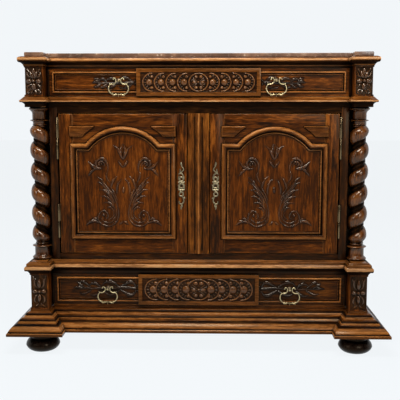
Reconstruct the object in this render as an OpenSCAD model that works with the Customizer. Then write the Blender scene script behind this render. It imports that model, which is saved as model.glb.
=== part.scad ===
/* [Body] */
// Width over the outer faces of the corner blocks
body_w = 1248; // [1100:2:1500]
// Depth from the middle front to the back
body_d = 410; // [340:2:520]
// Width of a corner block
block_w = 69; // [60:1:90]
// How far the corner blocks stand in front of the middle
block_proj = 56; // [40:1:70]
// Recess behind the middle front in which a column stands
recess_d = 55; // [54:1:70]

/* [Heights] */
// Height of the bun feet
foot_h = 75; // [60:1:100]
// Height of the flared plinth
plinth_h = 83; // [70:1:100]
// Height of the lower corner blocks
lower_block_h = 136; // [125:1:180]
// Height of the sill moulding under the columns
sill_h = 44; // [36:1:56]
// Height of the twisted columns
column_h = 567; // [520:1:640]
// Height of the waist moulding over the columns
waist_h = 38; // [32:1:50]
// Height of the upper corner blocks
upper_block_h = 109; // [100:1:130]
// Height of the cornice
cornice_h = 33; // [28:1:45]
// Thickness of the marble
marble_t = 15; // [12:1:25]

/* [Moulding projections] */
// Cornice, beyond the block faces
cornice_out = 18.5; // [12:0.5:24]
// Waist moulding, beyond the block faces
waist_out = 16; // [10:0.5:22]
// Sill moulding, beyond the block faces
sill_out = 16.5; // [10:0.5:22]
// Plinth, beyond the block faces
plinth_out = 74; // [60:1:85]
// Share of a projection that the inner return of a cap has
return_share = 0.85; // [0.7:0.05:1]
// How far the marble stays behind the block faces
marble_inset = 2; // [0:0.5:6]
// Chamfer on the marble's edges
marble_bevel = 1.5; // [0.5:0.5:3]

/* [Carcass] */
// Thickness of the horizontal boards
board_t = 18; // [15:1:22]
// Thickness of the side panels
side_t = 20; // [16:1:26]
// Thickness of the back boards
back_t = 12; // [9:1:16]
// Thickness of the front rails
rail_t = 22; // [18:1:28]
// Depth of a corner post
post_d = 60; // [45:1:75]
// Clear space between a column and the pieces beside and behind it
column_play = 2; // [1:0.5:5]
// Width of a fixed stile beside a door
stile_w = 28.5; // [22:0.5:36]
// Depth of a fixed stile
stile_d = 80; // [70:1:95]
// Height of the rail over the doors
head_rail_h = 43; // [30:1:60]
// Height of the rail under the doors
foot_rail_h = 22.5; // [15:0.5:35]
// Height of the rail over the lower drawer that shows under the sill
sill_rail_h = 11; // [6:0.5:20]
// Strip of a drawer board that shows under each drawer
base_lip = 5.5; // [2:0.5:10]
// Height of the rail over the upper drawer that shows under the cornice
top_rail_h = 6; // [4:0.5:12]
// Depth of the recessed fields in the side panels
side_field_d = 6; // [3:0.5:9]
// Margin around the recessed side fields
side_margin = 28; // [20:1:50]
// Depth of a shelf cleat from the side
cleat_w = 14; // [10:1:24]
// Height of a shelf cleat
cleat_h = 22; // [15:1:40]
// How far the shelf stays behind the middle front
shelf_front = 50; // [40:1:120]

/* [Feet and columns] */
// Largest radius of a bun foot
foot_r = 63; // [52:1:70]
// Distance of a foot's axis from the outer tip of the plinth
foot_side = 111; // [100:1:125]
// Distance of a front foot's axis from the front tip of the plinth
foot_front = 102; // [85:1:130]
// Distance of a rear foot's axis from the back
foot_back = 67; // [64:1:80]
// Radius of a foot where it meets the floor
foot_sole_r = 44; // [30:1:50]
// Radius of the neck of a foot
foot_neck_r = 42; // [30:1:50]
// Height of the round part of a foot
foot_bun_h = 46; // [35:1:55]
// Outer radius of the twist
twist_r = 37; // [32:0.5:38]
// Core radius in the groove of the twist
twist_core_r = 23; // [18:0.5:27]
// Height of one turn of the twist
twist_lead = 78.6; // [60:0.1:110]
// Share of a turn that the groove takes
twist_groove = 0.4; // [0.2:0.05:0.6]
// Height over a column's foot at which a groove crosses its outer side
groove_h = 295.5; // [250:0.5:340]
// Height of the turned foot of a column under the twist
column_foot_h = 64; // [58:1:80]
// Height of the turned head of a column over the twist
column_head_h = 64; // [58:1:80]
// Radius of the column neck under the waist
neck_r = 26; // [22:0.5:30]
// Radius of the column neck over the sill
base_neck_r = 29; // [24:0.5:32]
// Radius of the bead at the top of a column
capital_r = 38; // [34:0.5:39]

/* [Doors] */
// Thickness of a door
door_t = 24; // [20:1:30]
// Gap around a door
door_gap = 2; // [1.5:0.5:4]
// Gap at the hinged edge, which takes the two leaves
hinge_gap = 5; // [4:0.5:7]
// Gap between a door's free edge and the muntin
lock_gap = 3.5; // [2:0.5:5]
// Width of the fixed centre muntin
muntin_w = 80; // [60:1:100]
// Door margin outside the raised moulding, at the sides
door_margin = 39; // [36:0.5:50]
// Door margin over the arch
door_margin_top = 43.5; // [35:0.5:60]
// Door margin under the raised moulding
door_margin_foot = 51; // [40:1:70]
// Width of the raised moulding
roll_w = 25; // [18:1:30]
// How far the raised moulding stands out
roll_out = 13; // [8:0.5:16]
// Outer radius of the arch
arch_r = 182; // [150:1:190]
// Rise of the arch over its shoulders
arch_rise = 63; // [50:1:80]
// Thickness of a door panel
panel_t = 12; // [8:1:16]
// How far the panel lies behind the front of the door
panel_sink = 4; // [2:0.5:8]
// Height of a corner spandrel
spandrel_h = 42; // [30:1:50]
// Thickness of a corner spandrel
spandrel_t = 4; // [2:0.5:6]
// Gap between a spandrel and the raised moulding
spandrel_gap = 22; // [14:1:28]

/* [Hinges and locks] */
// Radius of a hinge barrel
barrel_r = 3.5; // [3:0.1:5]
// Radius of a hinge pin
pin_r = 1.8; // [1.2:0.1:2.2]
// Thickness of a hinge leaf
leaf_t = 1.1; // [0.8:0.1:1.3]
// Depth of a hinge leaf
leaf_d = 16; // [10:1:20]
// Length of an upper hinge
upper_hinge_l = 154; // [100:2:180]
// Length of a lower hinge
lower_hinge_l = 126; // [90:2:160]
// Height of the lower hinge over the foot of its door
lower_hinge_rise = 58; // [40:1:80]
// Height of the escutcheon plates
escutcheon_h = 180; // [120:2:200]
// Width of the escutcheon plates
escutcheon_w = 30; // [22:1:32]
// Distance of a keyhole from the free edge of its door
key_in = 20; // [18:0.5:22]
// Thickness of the escutcheon plates
escutcheon_t = 1.6; // [1:0.1:2.5]
// Height of the keyholes over the bottom edge of the doors
key_rise = 253.5; // [200:0.5:310]
// Travel of a lock bolt
bolt_travel = 9; // [6:0.5:10]

/* [Drawers] */
// Width of the cheeks beside the drawers
cheek_w = 7.5; // [5:0.5:12]
// Gap beside a drawer front
drawer_gap = 1.5; // [1:0.5:3]
// Thickness of a drawer front
drawer_front_t = 22; // [18:1:26]
// Space behind a closed drawer
drawer_back_gap = 26; // [10:1:100]
// Thickness of drawer sides and backs
drawer_side_t = 12; // [9:1:15]
// Thickness of drawer bottoms
drawer_bottom_t = 8; // [5:1:10]
// Width of the carved middle panels
carved_w = 452; // [400:2:480]
// How far the carved panels stand out
carved_t = 10; // [6:1:14]
// Width of the rim around the carving
carved_rim = 14; // [10:1:18]
// How deep the ground of the carving lies
carved_sink = 5; // [3:0.5:8]
// Width of the outer bead of the frames
bead_w = 8; // [5:0.5:12]
// How far the outer bead stands out
bead_t = 8; // [5:0.5:10]
// Width of the inner bead of the frames
inner_bead_w = 6; // [3:0.5:8]
// How far the inner bead stands out
inner_bead_t = 4; // [2:0.5:5]
// Margin around the bead frames
bead_margin = 11.5; // [6:0.5:18]
// Gap over and under a drawer front
front_gap = 1; // [0.8:0.1:2]
// Running clearance under a drawer
run_gap = 0.3; // [0.2:0.1:0.6]
// Clearance between a drawer's side and its guide
guide_gap = 1; // [0.5:0.1:2]
// Height of a drawer guide
guide_h = 26; // [15:1:40]
// Width of a kicker over a drawer
kicker_w = 24; // [15:1:40]

/* [Pulls] */
// Distance between the pulls of the upper drawer
upper_pull_span = 573; // [530:1:700]
// How far the pulls of the upper drawer sit off the middle
upper_pull_shift = -4; // [-10:0.5:10]
// Distance between the pulls of the lower drawer
lower_pull_span = 684; // [530:1:760]
// Height of a pull's pivot over the middle of its drawer
pull_lift = 5; // [0:0.5:12]
// Distance of the pivot from the drawer front
pull_stand = 15; // [12:0.5:20]
// Radius of a pull's rose
pull_rose_r = 9; // [7:0.5:11]
// Thickness of a pull's rose
pull_rose_t = 2.5; // [1.5:0.5:4]
// Radius of a pull's stem
pull_stem_r = 4; // [3:0.5:5]
// Radius of the ball on a pull's stem
pull_ball_r = 5; // [4.5:0.5:6]
// Radius of the bail's rod
bail_rod_r = 2.8; // [2.2:0.1:3.4]
// Half width of a bail, at its rod's middle
bail_r = 35.5; // [33:0.5:40]
// Radius of the inner bend of a bail's arms
bail_bend_r = 12.5; // [11:0.5:15]
// Radius of a bail's shoulders
bail_shoulder_r = 12.5; // [9:0.5:14]
// Radius of a bail's lower corners
bail_corner_r = 26; // [20:0.5:28]
// Radius of a bail's pivot pin
bail_pin_r = 2; // [1.4:0.1:2.4]

/* [Hidden] */
$fn = 48;

walnut = "#6b3d20";
walnut_dark = "#3c2113";
walnut_light = "#7d4a28";
inner_wood = "#a9845c";
brass = "#b59a58";
iron = "#55504a";
marble = "#8a6a4c";

// Levels above the floor
plinth_top = foot_h + plinth_h;
sill_z = plinth_top + lower_block_h;
column_z = sill_z + sill_h;
waist_z = column_z + column_h;
upper_z = waist_z + waist_h;
cornice_z = upper_z + upper_block_h;
marble_z = cornice_z + cornice_h;

// Plan: y is 0 at the middle front and grows towards the back
block_out = body_w / 2;
block_in = block_out - block_w;
block_mid = (block_in + block_out) / 2;
post_back = recess_d + post_d;
rear_post = body_d - post_d;
back_front = body_d - back_t;
side_in = block_out - side_t;
rear_in = block_out - post_d;
column_r = max(twist_r, capital_r);
stile_out = block_mid - column_r - column_play;
stile_in = stile_out - stile_w;
origin_y = (block_proj + plinth_out - body_d) / 2;
joint_gap = 0.2;

// Boards and rails
base_top = plinth_top + base_lip;
dust_top = upper_z + 1;
dust_z = dust_top - board_t;
floor_top = column_z + board_t;
top_board_z = marble_z - board_t;
sill_rail_z = sill_z - sill_rail_h;
top_rail_z = cornice_z - top_rail_h;
head_rail_z = dust_z - head_rail_h;
shelf_z = (floor_top + dust_z) / 2 - board_t;

// Columns stand clear of the posts behind them
column_y = recess_d - column_r - column_play / 2;
twist_z0 = column_z + column_foot_h;
twist_z1 = waist_z - column_head_h;

// Doors
door_out = stile_in - hinge_gap;
door_in = muntin_w / 2 + lock_gap;
door_w = door_out - door_in;
door_mid = (door_out + door_in) / 2;
door_z = column_z + foot_rail_h + door_gap;
door_top = head_rail_z - door_gap;
arch_half = door_w / 2 - door_margin;
field_z = door_z + door_margin_foot;
apex_z = door_top - door_margin_top;
shoulder_z = apex_z - arch_rise;
arch_z = apex_z - arch_r;
barrel_x = stile_in;
barrel_y = -barrel_r - 0.1;
upper_hinge_z = door_top - 12 - upper_hinge_l;
lower_hinge_z = door_z + lower_hinge_rise;
keyhole_z = door_z + key_rise;
key_x = door_in + key_in;
lock_case = [2 * key_in, 14, 74];
lock_y = door_t - lock_case.y;
bolt = [26, 6, 16];

// Drawers
drawer_half = block_in - cheek_w - drawer_gap;
drawer_side_x = stile_out - 8.5;
upper_front_z = dust_top + front_gap;
upper_front_top = top_rail_z - front_gap;
lower_front_z = base_top + front_gap;
lower_front_top = sill_rail_z - front_gap;
guide_x = drawer_side_x + guide_gap;
kicker_gap = 3;
bail_eye_x = 6;
bail_eye_w = 5;
eye_r = 4.5;
pin_play = 0.08;
bend_x = bail_r - bail_shoulder_r;
corner_x = bail_r - bail_corner_r;
corner_z = -bail_bend_r - bail_shoulder_r;
bail_low_z = corner_z - bail_corner_r;

// Points of a bowed line from a to b, which swells to the right by sag
function bow(a, b, sag, steps = 6) =
    let (d = b - a, across = [d.y, -d.x] / norm(d))
    [for (i = [0:steps]) let (t = i / steps) a + d * t + across * (4 * sag * t * (1 - t))];

// Moulding sections as shares of projection and height, from the bottom up
cornice_shape = concat([[0, 0]], bow([0.1, 0], [0.9, 0.5], -0.05),
    bow([0.93, 0.54], [0.68, 0.95], 0.2), [[0.35, 1], [0, 1]]);
waist_shape = concat([[0, 0], [0, 0.25]], bow([0.04, 0.27], [0.88, 0.52], -0.07),
    bow([0.92, 0.55], [0.8, 0.8], 0.16), [[0.42, 0.9], [0.06, 1], [0, 1]]);
sill_shape = concat([[0, 0]], bow([0.05, 0.02], [0.88, 0.35], -0.08),
    bow([0.92, 0.37], [0.8, 0.56], 0.08), bow([0.7, 0.58], [0.06, 0.85], 0.04), [[0, 0.88], [0, 1]]);
plinth_shape = concat([[0, 0], [1, 0], [1, 0.11]], [[0.965, 0.14]],
    bow([0.95, 0.155], [0.59, 0.47], 0.045, 8), [[0.55, 0.475]],
    bow([0.535, 0.5], [0.31, 0.71], 0.035), [[0.27, 0.715]],
    bow([0.25, 0.735], [0.02, 0.93], 0.05), [[0, 0.94], [0, 1]]);

function raised(shape, size, z) = [for (p = shape) [p.x * size.x, z + p.y * size.y]];
function bar_part(shape) =
    let (s = [for (p = shape) if (p.x > 0.01) p])
    concat([[0, s[0].y]], s, [[0, s[len(s) - 1].y]]);
function flip(list) = [for (i = [len(list) - 1:-1:0]) list[i]];

module place() {
    translate([0, origin_y, 0])
        children();
}

module left() {
    mirror([1, 0, 0])
        children();
}

module both() {
    children();
    left() children();
}

module on_side(side) {
    if (side < 0) left() children();
    else children();
}

module block(lo, hi) {
    translate(lo)
        cube(hi - lo);
}

// A section drawn in y and z, run along x
module along_x(x0, x1) {
    translate([x0, 0, 0])
        rotate([90, 0, 90])
            linear_extrude(x1 - x0)
                children();
}

// A section drawn in x and z, run along y
module along_y(y0, y1) {
    translate([0, y1, 0])
        rotate([90, 0, 0])
            linear_extrude(y1 - y0)
                children();
}

// Section of a corner cap across the front, with its outer and inner returns
module cap_face(points) {
    polygon(concat([for (p = points) [block_out + p.x, p.y]],
        flip([for (p = points) [block_in - return_share * p.x, p.y]])));
}

// A corner cap of one moulding: a slab with the section on three edges
module cap(shape, size, z) {
    points = raised(shape, size, z);
    difference() {
        intersection() {
            along_y(-block_proj - size.x - 1, recess_d)
                cap_face(points);
            along_x(block_in - size.x - 1, block_out + size.x + 1)
                polygon(concat([[recess_d, z], [recess_d, z + size.y]],
                    flip([for (p = points) [-block_proj - p.x, p.y]])));
        }
        block([block_in - size.x - 2, 0, z - 1], [block_in, recess_d + 1, z + size.y + 1]);
    }
}

// The lengths of one moulding between the caps and along the sides
module lengths(shape, size, z) {
    points = raised(shape, size, z);
    bar = raised(bar_part(shape), size, z);
    intersection() {
        along_x(-block_in, block_in)
            polygon([for (p = bar) [-p.x, p.y]]);
        along_y(-size.x - 1, 0)
            polygon(concat([for (p = points) [block_in - return_share * p.x, p.y]],
                flip([for (p = points) [-block_in + return_share * p.x, p.y]])));
    }
    both()
        along_y(recess_d, body_d)
            polygon([for (p = bar) [block_out + p.x, p.y]]);
}

// A carcass board from a given front, cut round the posts and, where asked, the stiles
module board(front, z, round_stiles = false, play = 0) {
    nose = round_stiles ? [[stile_in - play, front], [stile_in - play, stile_d + play],
        [stile_out - play, stile_d + play]] : [[stile_out - play, front]];
    right = concat(nose, [[stile_out - play, post_back + play],
        [side_in - play, post_back + play], [side_in - play, rear_post - play],
        [rear_in - play, rear_post - play], [rear_in - play, back_front - play]]);
    translate([0, 0, z])
        linear_extrude(board_t)
            polygon(concat(right, flip([for (p = right) [-p.x, p.y]])));
}

function marble_plan(edge) =
    let (right = [[block_in + edge - marble_inset, marble_inset + edge],
        [block_in + edge - marble_inset, marble_inset + edge - block_proj],
        [block_out - marble_inset - edge, marble_inset + edge - block_proj],
        [block_out - marble_inset - edge, body_d - edge]])
    concat(right, flip([for (p = right) [-p.x, p.y]]));

module marble_top() {
    color(marble) place() {
        translate([0, 0, marble_z + marble_bevel])
            linear_extrude(marble_t - 2 * marble_bevel)
                polygon(marble_plan(0));
        for (z = [marble_z, marble_z + marble_t - marble_bevel])
            translate([0, 0, z])
                linear_extrude(marble_bevel)
                    polygon(marble_plan(marble_bevel));
    }
}

module top_board() {
    right = [[block_in, 0], [block_in, recess_d], [block_out, recess_d], [block_out, body_d]];
    color(inner_wood) place()
        translate([0, 0, top_board_z])
            linear_extrude(board_t)
                polygon(concat(right, flip([for (p = right) [-p.x, p.y]])));
}

module cornice_lengths() {
    color(walnut_light) place()
        lengths(cornice_shape, [cornice_out, cornice_h], cornice_z);
}

module cornice_caps() {
    color(walnut_light) place() both()
        cap(cornice_shape, [cornice_out, cornice_h], cornice_z);
}

module waist_lengths() {
    color(walnut_light) place()
        lengths(waist_shape, [waist_out, waist_h], waist_z);
}

module waist_caps() {
    color(walnut_light) place() both()
        cap(waist_shape, [waist_out, waist_h], waist_z);
}

module sill_lengths() {
    color(walnut_light) place()
        lengths(sill_shape, [sill_out, sill_h], sill_z);
}

module sill_caps() {
    color(walnut_light) place() both()
        cap(sill_shape, [sill_out, sill_h], sill_z);
}

module plinth_lengths() {
    color(walnut) place()
        lengths(plinth_shape, [plinth_out, plinth_h], foot_h);
}

module plinth_corner(side) {
    color(walnut) place() on_side(side)
        cap(plinth_shape, [plinth_out, plinth_h], foot_h);
}

// A corner block with a sunk field on its two shown faces and a carved boss
module corner_block(side, z, h) {
    rim = 8;
    sunk = 3;
    boss = min(block_w, h) / 2 - rim - 6;
    long = max(0, h - block_w);
    z0 = z + rim;
    z1 = z + h - rim;
    color(walnut) place() on_side(side) {
        difference() {
            block([block_in, -block_proj, z], [block_out, recess_d, z + h]);
            block([block_in + rim, -block_proj - 1, z0], [block_out - rim, sunk - block_proj, z1]);
            block([block_out - sunk, rim - block_proj, z0], [block_out + 1, recess_d - rim, z1]);
        }
        for (zc = [-0.3, 0, 0.3])
            translate([block_mid, sunk - block_proj, z + h / 2 + zc * long])
                rotate([90, 0, 0])
                    cylinder(h = sunk + 1.5, r1 = boss * (1 - abs(zc)), r2 = boss * (0.7 - abs(zc)));
    }
}

// Radius of the column surface at a height over its foot and an angle
bead_rows = 8;
function torus_r(z, low, high, r_edge, r_top) =
    let (t = (z - low) / (high - low)) r_edge + (r_top - r_edge) * sqrt(max(0, 4 * t * (1 - t)));
column_rows = concat(
    [for (i = [0:bead_rows]) [i * 13 / bead_rows, torus_r(i * 13 / bead_rows, 0, 13, 33, capital_r)]],
    [[15, base_neck_r + 2], [18, base_neck_r], [45, base_neck_r]],
    [for (i = [0:4]) [48 + i * 2, torus_r(i, 0, 4, base_neck_r, base_neck_r + 8)]],
    [[column_foot_h, twist_core_r]]);
capital_rows = let (n = column_h) concat(
    [[n - column_head_h, twist_core_r]],
    [for (i = [0:4]) [n - 50.5 + i * 2.25, torus_r(i, 0, 4, neck_r - 2, neck_r + 7)]],
    [[n - 39, neck_r], [n - 22, neck_r], [n - 18, neck_r + 2], [n - 13, neck_r + 7]],
    [for (i = [0:bead_rows]) [n - 11 + i * 11 / bead_rows, torus_r(i, 0, bead_rows, 33, capital_r)]]);
function rope(turn) =
    let (t = abs(2 * (turn - floor(turn)) - 1), edge = 1 - twist_groove)
    t < edge ? sqrt(1 - pow(t / edge, 2)) : 0;
twist_sides = 26;
twist_steps = ceil((twist_z1 - twist_z0) / twist_lead * 15);
twist_rise = (twist_z1 - twist_z0) / twist_steps;
function twist_row(i) =
    let (z = twist_z0 + i * twist_rise, fade = min(1, min(i, twist_steps - i) / 4))
    [for (k = [0:twist_sides - 1])
        let (a = 360 * k / twist_sides,
            turn = (a - 180) / 360 + (z - column_z - groove_h) / twist_lead,
            r = twist_core_r + (twist_r - twist_core_r) * fade * rope(turn))
        [r * cos(a), r * sin(a), z]];
function round_row(row) =
    [for (k = [0:twist_sides - 1]) let (a = 360 * k / twist_sides)
        [row[1] * cos(a), row[1] * sin(a), column_z + row[0]]];

// A turned column with one rope twist, drawn as rings of points
module column() {
    rows = concat([for (row = column_rows) round_row(row)],
        [for (i = [1:twist_steps - 1]) twist_row(i)],
        [for (row = capital_rows) round_row(row)]);
    n = twist_sides;
    last = (len(rows) - 1) * n;
    polyhedron(
        points = [for (row = rows) each row],
        faces = concat([[for (k = [0:n - 1]) k]],
            [for (j = [0:len(rows) - 2]) for (k = [0:n - 1]) let (m = (k + 1) % n)
                each [[j * n + k, (j + 1) * n + k, j * n + m],
                    [j * n + m, (j + 1) * n + k, (j + 1) * n + m]]],
            [[for (k = [n - 1:-1:0]) last + k]]));
}

module twisted_column(side) {
    color(walnut_light) place() on_side(side)
        translate([block_mid, column_y, 0])
            mirror([1, 0, 0])
                column();
}

module bun_foot() {
    wide_z = foot_bun_h * 0.45;
    color(walnut_dark)
        rotate_extrude()
            polygon(concat([[0, 0]], bow([foot_sole_r, 0], [foot_r, wide_z], 3, 5),
                bow([foot_r, wide_z], [foot_neck_r + 3, foot_bun_h], 4, 6),
                [[foot_neck_r, foot_bun_h + 3], [foot_neck_r, foot_h], [0, foot_h]]));
}

foot_x = block_out + plinth_out - foot_side;
module front_foot(side) {
    place() on_side(side)
        translate([foot_x, foot_front - block_proj - plinth_out, 0])
            bun_foot();
}

module rear_feet() {
    place() both()
        translate([foot_x, body_d - foot_back, 0])
            bun_foot();
}

module corner_posts() {
    color(walnut) place() both() {
        block([stile_out, recess_d, foot_h], [block_out, post_back, top_board_z]);
        block([rear_in, rear_post, foot_h], [block_out, body_d, top_board_z]);
    }
}

module side_panel(side) {
    y0 = post_back + joint_gap;
    y1 = rear_post - joint_gap;
    color(walnut) place() on_side(side)
        difference() {
            block([side_in, y0, foot_h], [block_out, y1, top_board_z]);
            for (span = [[sill_z + sill_h, waist_z], [plinth_top, sill_z], [upper_z, cornice_z]])
                side_field(y0, y1, span);
        }
}

// A sunk margin that leaves a raised field in the middle of a side panel
module side_field(y0, y1, span) {
    m = min(side_margin, (span[1] - span[0]) / 5);
    rim = 12;
    difference() {
        block([block_out - side_field_d, y0 + m, span[0] + m], [block_out + 1, y1 - m, span[1] - m]);
        block([block_out - side_field_d - 1, y0 + m + rim, span[0] + m + rim],
            [block_out - 1, y1 - m - rim, span[1] - m - rim]);
    }
}

module back_boards() {
    count = 4;
    w = (2 * rear_in - joint_gap) / count;
    color(inner_wood) place()
        for (i = [0:count - 1])
            block([i * w - rear_in + joint_gap, back_front, foot_h + 20],
                [(i + 1) * w - rear_in, body_d, top_board_z]);
}

module cupboard_floor() {
    color(inner_wood) place()
        board(rail_t, column_z, true);
}

module drawer_dust_board() {
    color(inner_wood) place()
        board(0, dust_z);
}

module base_board() {
    color(walnut) place()
        board(0, base_top - board_t);
}

module shelf() {
    color(inner_wood) place()
        board(shelf_front, shelf_z, true, 1);
}

module shelf_cleats() {
    color(inner_wood) place() both()
        block([side_in - cleat_w, post_back, shelf_z - cleat_h], [side_in, rear_post, shelf_z]);
}

// The fixed front: stiles beside the doors, rails, and cheeks beside the drawers
module face_frame() {
    cheek = block_in - cheek_w;
    rail_x = stile_in - joint_gap;
    color(walnut) place() {
        both() {
            block([stile_in, 0, column_z], [stile_out, stile_d, dust_z]);
            block([cheek, 0, dust_top], [block_in, rail_t, top_rail_z - joint_gap]);
            block([cheek, 0, base_top], [block_in, rail_t, sill_rail_z - joint_gap]);
        }
        block([-rail_x, 0, head_rail_z], [rail_x, rail_t, dust_z]);
        block([-rail_x, 0, column_z], [rail_x, rail_t, column_z + foot_rail_h]);
        block([-block_in, 0, sill_rail_z], [block_in, rail_t, column_z - joint_gap]);
        block([-block_in, 0, top_rail_z], [block_in, rail_t, top_board_z]);
        block([-block_in, 0, foot_h], [block_in, rail_t, base_top - board_t]);
    }
}

// The fixed muntin between the doors: a reeded face, a core whose lengths leave the bolts'
// mortises between them, and the lap the doors shut against
module centre_muntin() {
    half = muntin_w / 2;
    reed_r = 14;
    lap = 12;
    z0 = column_z + foot_rail_h + joint_gap;
    z1 = head_rail_z - joint_gap;
    core_y = lock_y + (lock_case.y - bolt.y) / 2 - 0.8;
    back = door_t + 0.5;
    groove = 5;
    stop = 13;
    deep = bolt_travel + 4;
    low = keyhole_z - bolt.z / 2 - 1;
    high = keyhole_z + bolt.z / 2 + 1;
    color(walnut) place() {
        difference() {
            block([-half, 0, z0], [half, core_y - joint_gap, z1]);
            for (s = [-1, 1])
                block([s * reed_r - groove / 2, -1, z0 + stop],
                    [s * reed_r + groove / 2, groove - 1, z1 - stop]);
        }
        intersection() {
            translate([0, 8, z0 + stop])
                cylinder(r = reed_r - 1, h = z1 - z0 - 2 * stop);
            block([-half, -6, z0], [half, 0, z1]);
        }
        block([-half, core_y, z0], [half, back - joint_gap, low]);
        block([deep - half, core_y, low + joint_gap], [half - deep, back - joint_gap, high - joint_gap]);
        block([-half, core_y, high], [half, back - joint_gap, z1]);
        block([-half - lap, back, z0], [half + lap, back + lap, z1]);
    }
}

// Guides beside the drawers and kickers over them
module drawer_guides() {
    y0 = max(rail_t, drawer_front_t) + 1;
    color(inner_wood) place() both()
        for (span = [[dust_top, upper_front_top, top_board_z], [base_top, lower_front_top, column_z]]) {
            block([guide_x, y0, span[0]], [stile_out, back_front - 1, span[0] + guide_h]);
            block([stile_out - kicker_w, y0, span[1] - kicker_gap], [stile_out, back_front - 1, span[2]]);
        }
}

// One hinge: the frame's half holds the pin, the door's half turns on it
module hinge_half(z, l, upper) {
    gap = 0.3;
    half = l / 2 - gap;
    z0 = upper ? z + l / 2 : z;
    edge = upper ? door_out : stile_in;
    far = upper ? door_out + leaf_t : stile_in - leaf_t;
    difference() {
        union() {
            translate([barrel_x, barrel_y, z0])
                cylinder(r = barrel_r, h = half);
            block([min(edge, far), barrel_y + 1, z0], [max(edge, far), leaf_d, z0 + half]);
            block([min(edge, far), barrel_y + 1, z0], [barrel_x, barrel_y + 1 + leaf_t, z0 + half]);
        }
        translate([barrel_x, barrel_y, z0 - 1])
            cylinder(r = pin_r + 0.05, h = half + 2);
    }
}

module hinge_pins() {
    color(brass) place() both()
        for (h = [[upper_hinge_z, upper_hinge_l], [lower_hinge_z, lower_hinge_l]]) {
            hinge_half(h[0], h[1], false);
            translate([barrel_x, barrel_y, h[0]])
                cylinder(r = pin_r, h = h[1]);
            translate([barrel_x, barrel_y, h[0]])
                cylinder(r = pin_r + 0.05, h = 6);
        }
}

module door_hinges(side) {
    color(brass) place() on_side(side)
        for (h = [[upper_hinge_z, upper_hinge_l], [lower_hinge_z, lower_hinge_l]])
            hinge_half(h[0], h[1], true);
}

// The arched field of a door, drawn inset by a given amount from the moulding's outer edge
module arched_field(inset) {
    translate([door_mid - arch_half + inset, field_z + inset])
        square([2 * (arch_half - inset), shoulder_z - field_z - 2 * inset]);
    intersection() {
        translate([door_mid, arch_z])
            circle(r = arch_r - inset, $fn = 96);
        translate([door_mid - arch_half + inset, field_z + inset])
            square([2 * (arch_half - inset), apex_z - field_z]);
    }
}

module keyhole(y0, y1) {
    along_y(y0, y1)
        union() {
            translate([key_x, keyhole_z + 4])
                circle(r = 3.2);
            translate([key_x - 1.7, keyhole_z - 8])
                square([3.4, 12]);
        }
}

module door_frame(side) {
    lip = roll_w / 2;
    stile = door_margin + lip;
    g = joint_gap / 2;
    x0 = door_in;
    color(walnut) place() on_side(side)
        difference() {
            union() {
                block([x0, 0, door_z], [x0 + stile - g, door_t, door_top]);
                block([x0 + door_w - stile + g, 0, door_z], [x0 + door_w, door_t, door_top]);
                difference() {
                    union() {
                        block([x0 + stile + g, 0, door_z],
                            [x0 + door_w - stile - g, door_t, field_z + lip]);
                        block([x0 + stile + g, 0, shoulder_z - lip],
                            [x0 + door_w - stile - g, door_t, door_top]);
                    }
                    along_y(-1, door_t + 1)
                        arched_field(lip);
                }
            }
            keyhole(-1, door_t + 1);
            translate([door_in - 1, lock_y - 0.2, keyhole_z - lock_case.z / 2 - 0.2])
                cube([lock_case.x + 3, lock_case.y + 1, lock_case.z + 0.4]);
        }
}

module door_panel(side) {
    color(walnut) place() on_side(side)
        along_y(panel_sink, panel_sink + panel_t)
            arched_field(roll_w / 2 + joint_gap);
}

// The raised moulding in stepped rounds, its inner bead and the corner spandrels
module door_moulding(side) {
    steps = 5;
    color(walnut_light) place() on_side(side) {
        for (i = [0:steps - 1]) {
            a = i * 90 / steps;
            swell = roll_w / 2 * (1 - cos(a));
            along_y(-roll_out * sin(a + 90 / steps), -roll_out * sin(a))
                difference() {
                    arched_field(swell);
                    arched_field(roll_w - swell);
                }
        }
        along_y(0, panel_sink)
            difference() {
                arched_field(roll_w / 2 + joint_gap);
                arched_field(roll_w + 9);
            }
        for (s = [-1, 1])
            translate([door_mid, 0, 0])
                scale_x(s)
                    translate([-door_mid, 0, 0])
                        along_y(-spandrel_t, 0)
                            spandrel();
    }
}

module scale_x(s) {
    if (s < 0) mirror([1, 0, 0]) children();
    else children();
}

module spandrel() {
    difference() {
        translate([door_mid, apex_z - spandrel_h])
            square([arch_half, spandrel_h]);
        translate([door_mid, arch_z])
            circle(r = arch_r + spandrel_gap, $fn = 96);
        translate([door_mid - 1, apex_z - spandrel_h - 1])
            square([arch_half * 0.45, spandrel_h + 2]);
    }
}

module escutcheon(side) {
    h = escutcheon_h / 2;
    w = escutcheon_w / 2;
    edge = concat(bow([0, h], [w * 0.45, h * 0.86], 2), bow([w * 0.3, h * 0.78], [w * 0.8, h * 0.6], 2),
        bow([w * 0.45, h * 0.5], [w * 0.5, h * 0.36], -1), bow([w * 0.6, h * 0.3], [w, 0], 2),
        bow([w, 0], [w * 0.6, -h * 0.3], 2), bow([w * 0.5, -h * 0.36], [w * 0.45, -h * 0.5], -1),
        bow([w * 0.8, -h * 0.6], [w * 0.3, -h * 0.78], 2), bow([w * 0.45, -h * 0.86], [0, -h], 2));
    color(brass) place() on_side(side)
        difference() {
            translate([0, 0, keyhole_z])
                along_y(-escutcheon_t, 0)
                    polygon([for (p = concat(edge, flip([for (q = edge) [-q.x, q.y]]))) p + [key_x, 0]]);
            keyhole(-escutcheon_t - 1, 1);
        }
}

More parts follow.
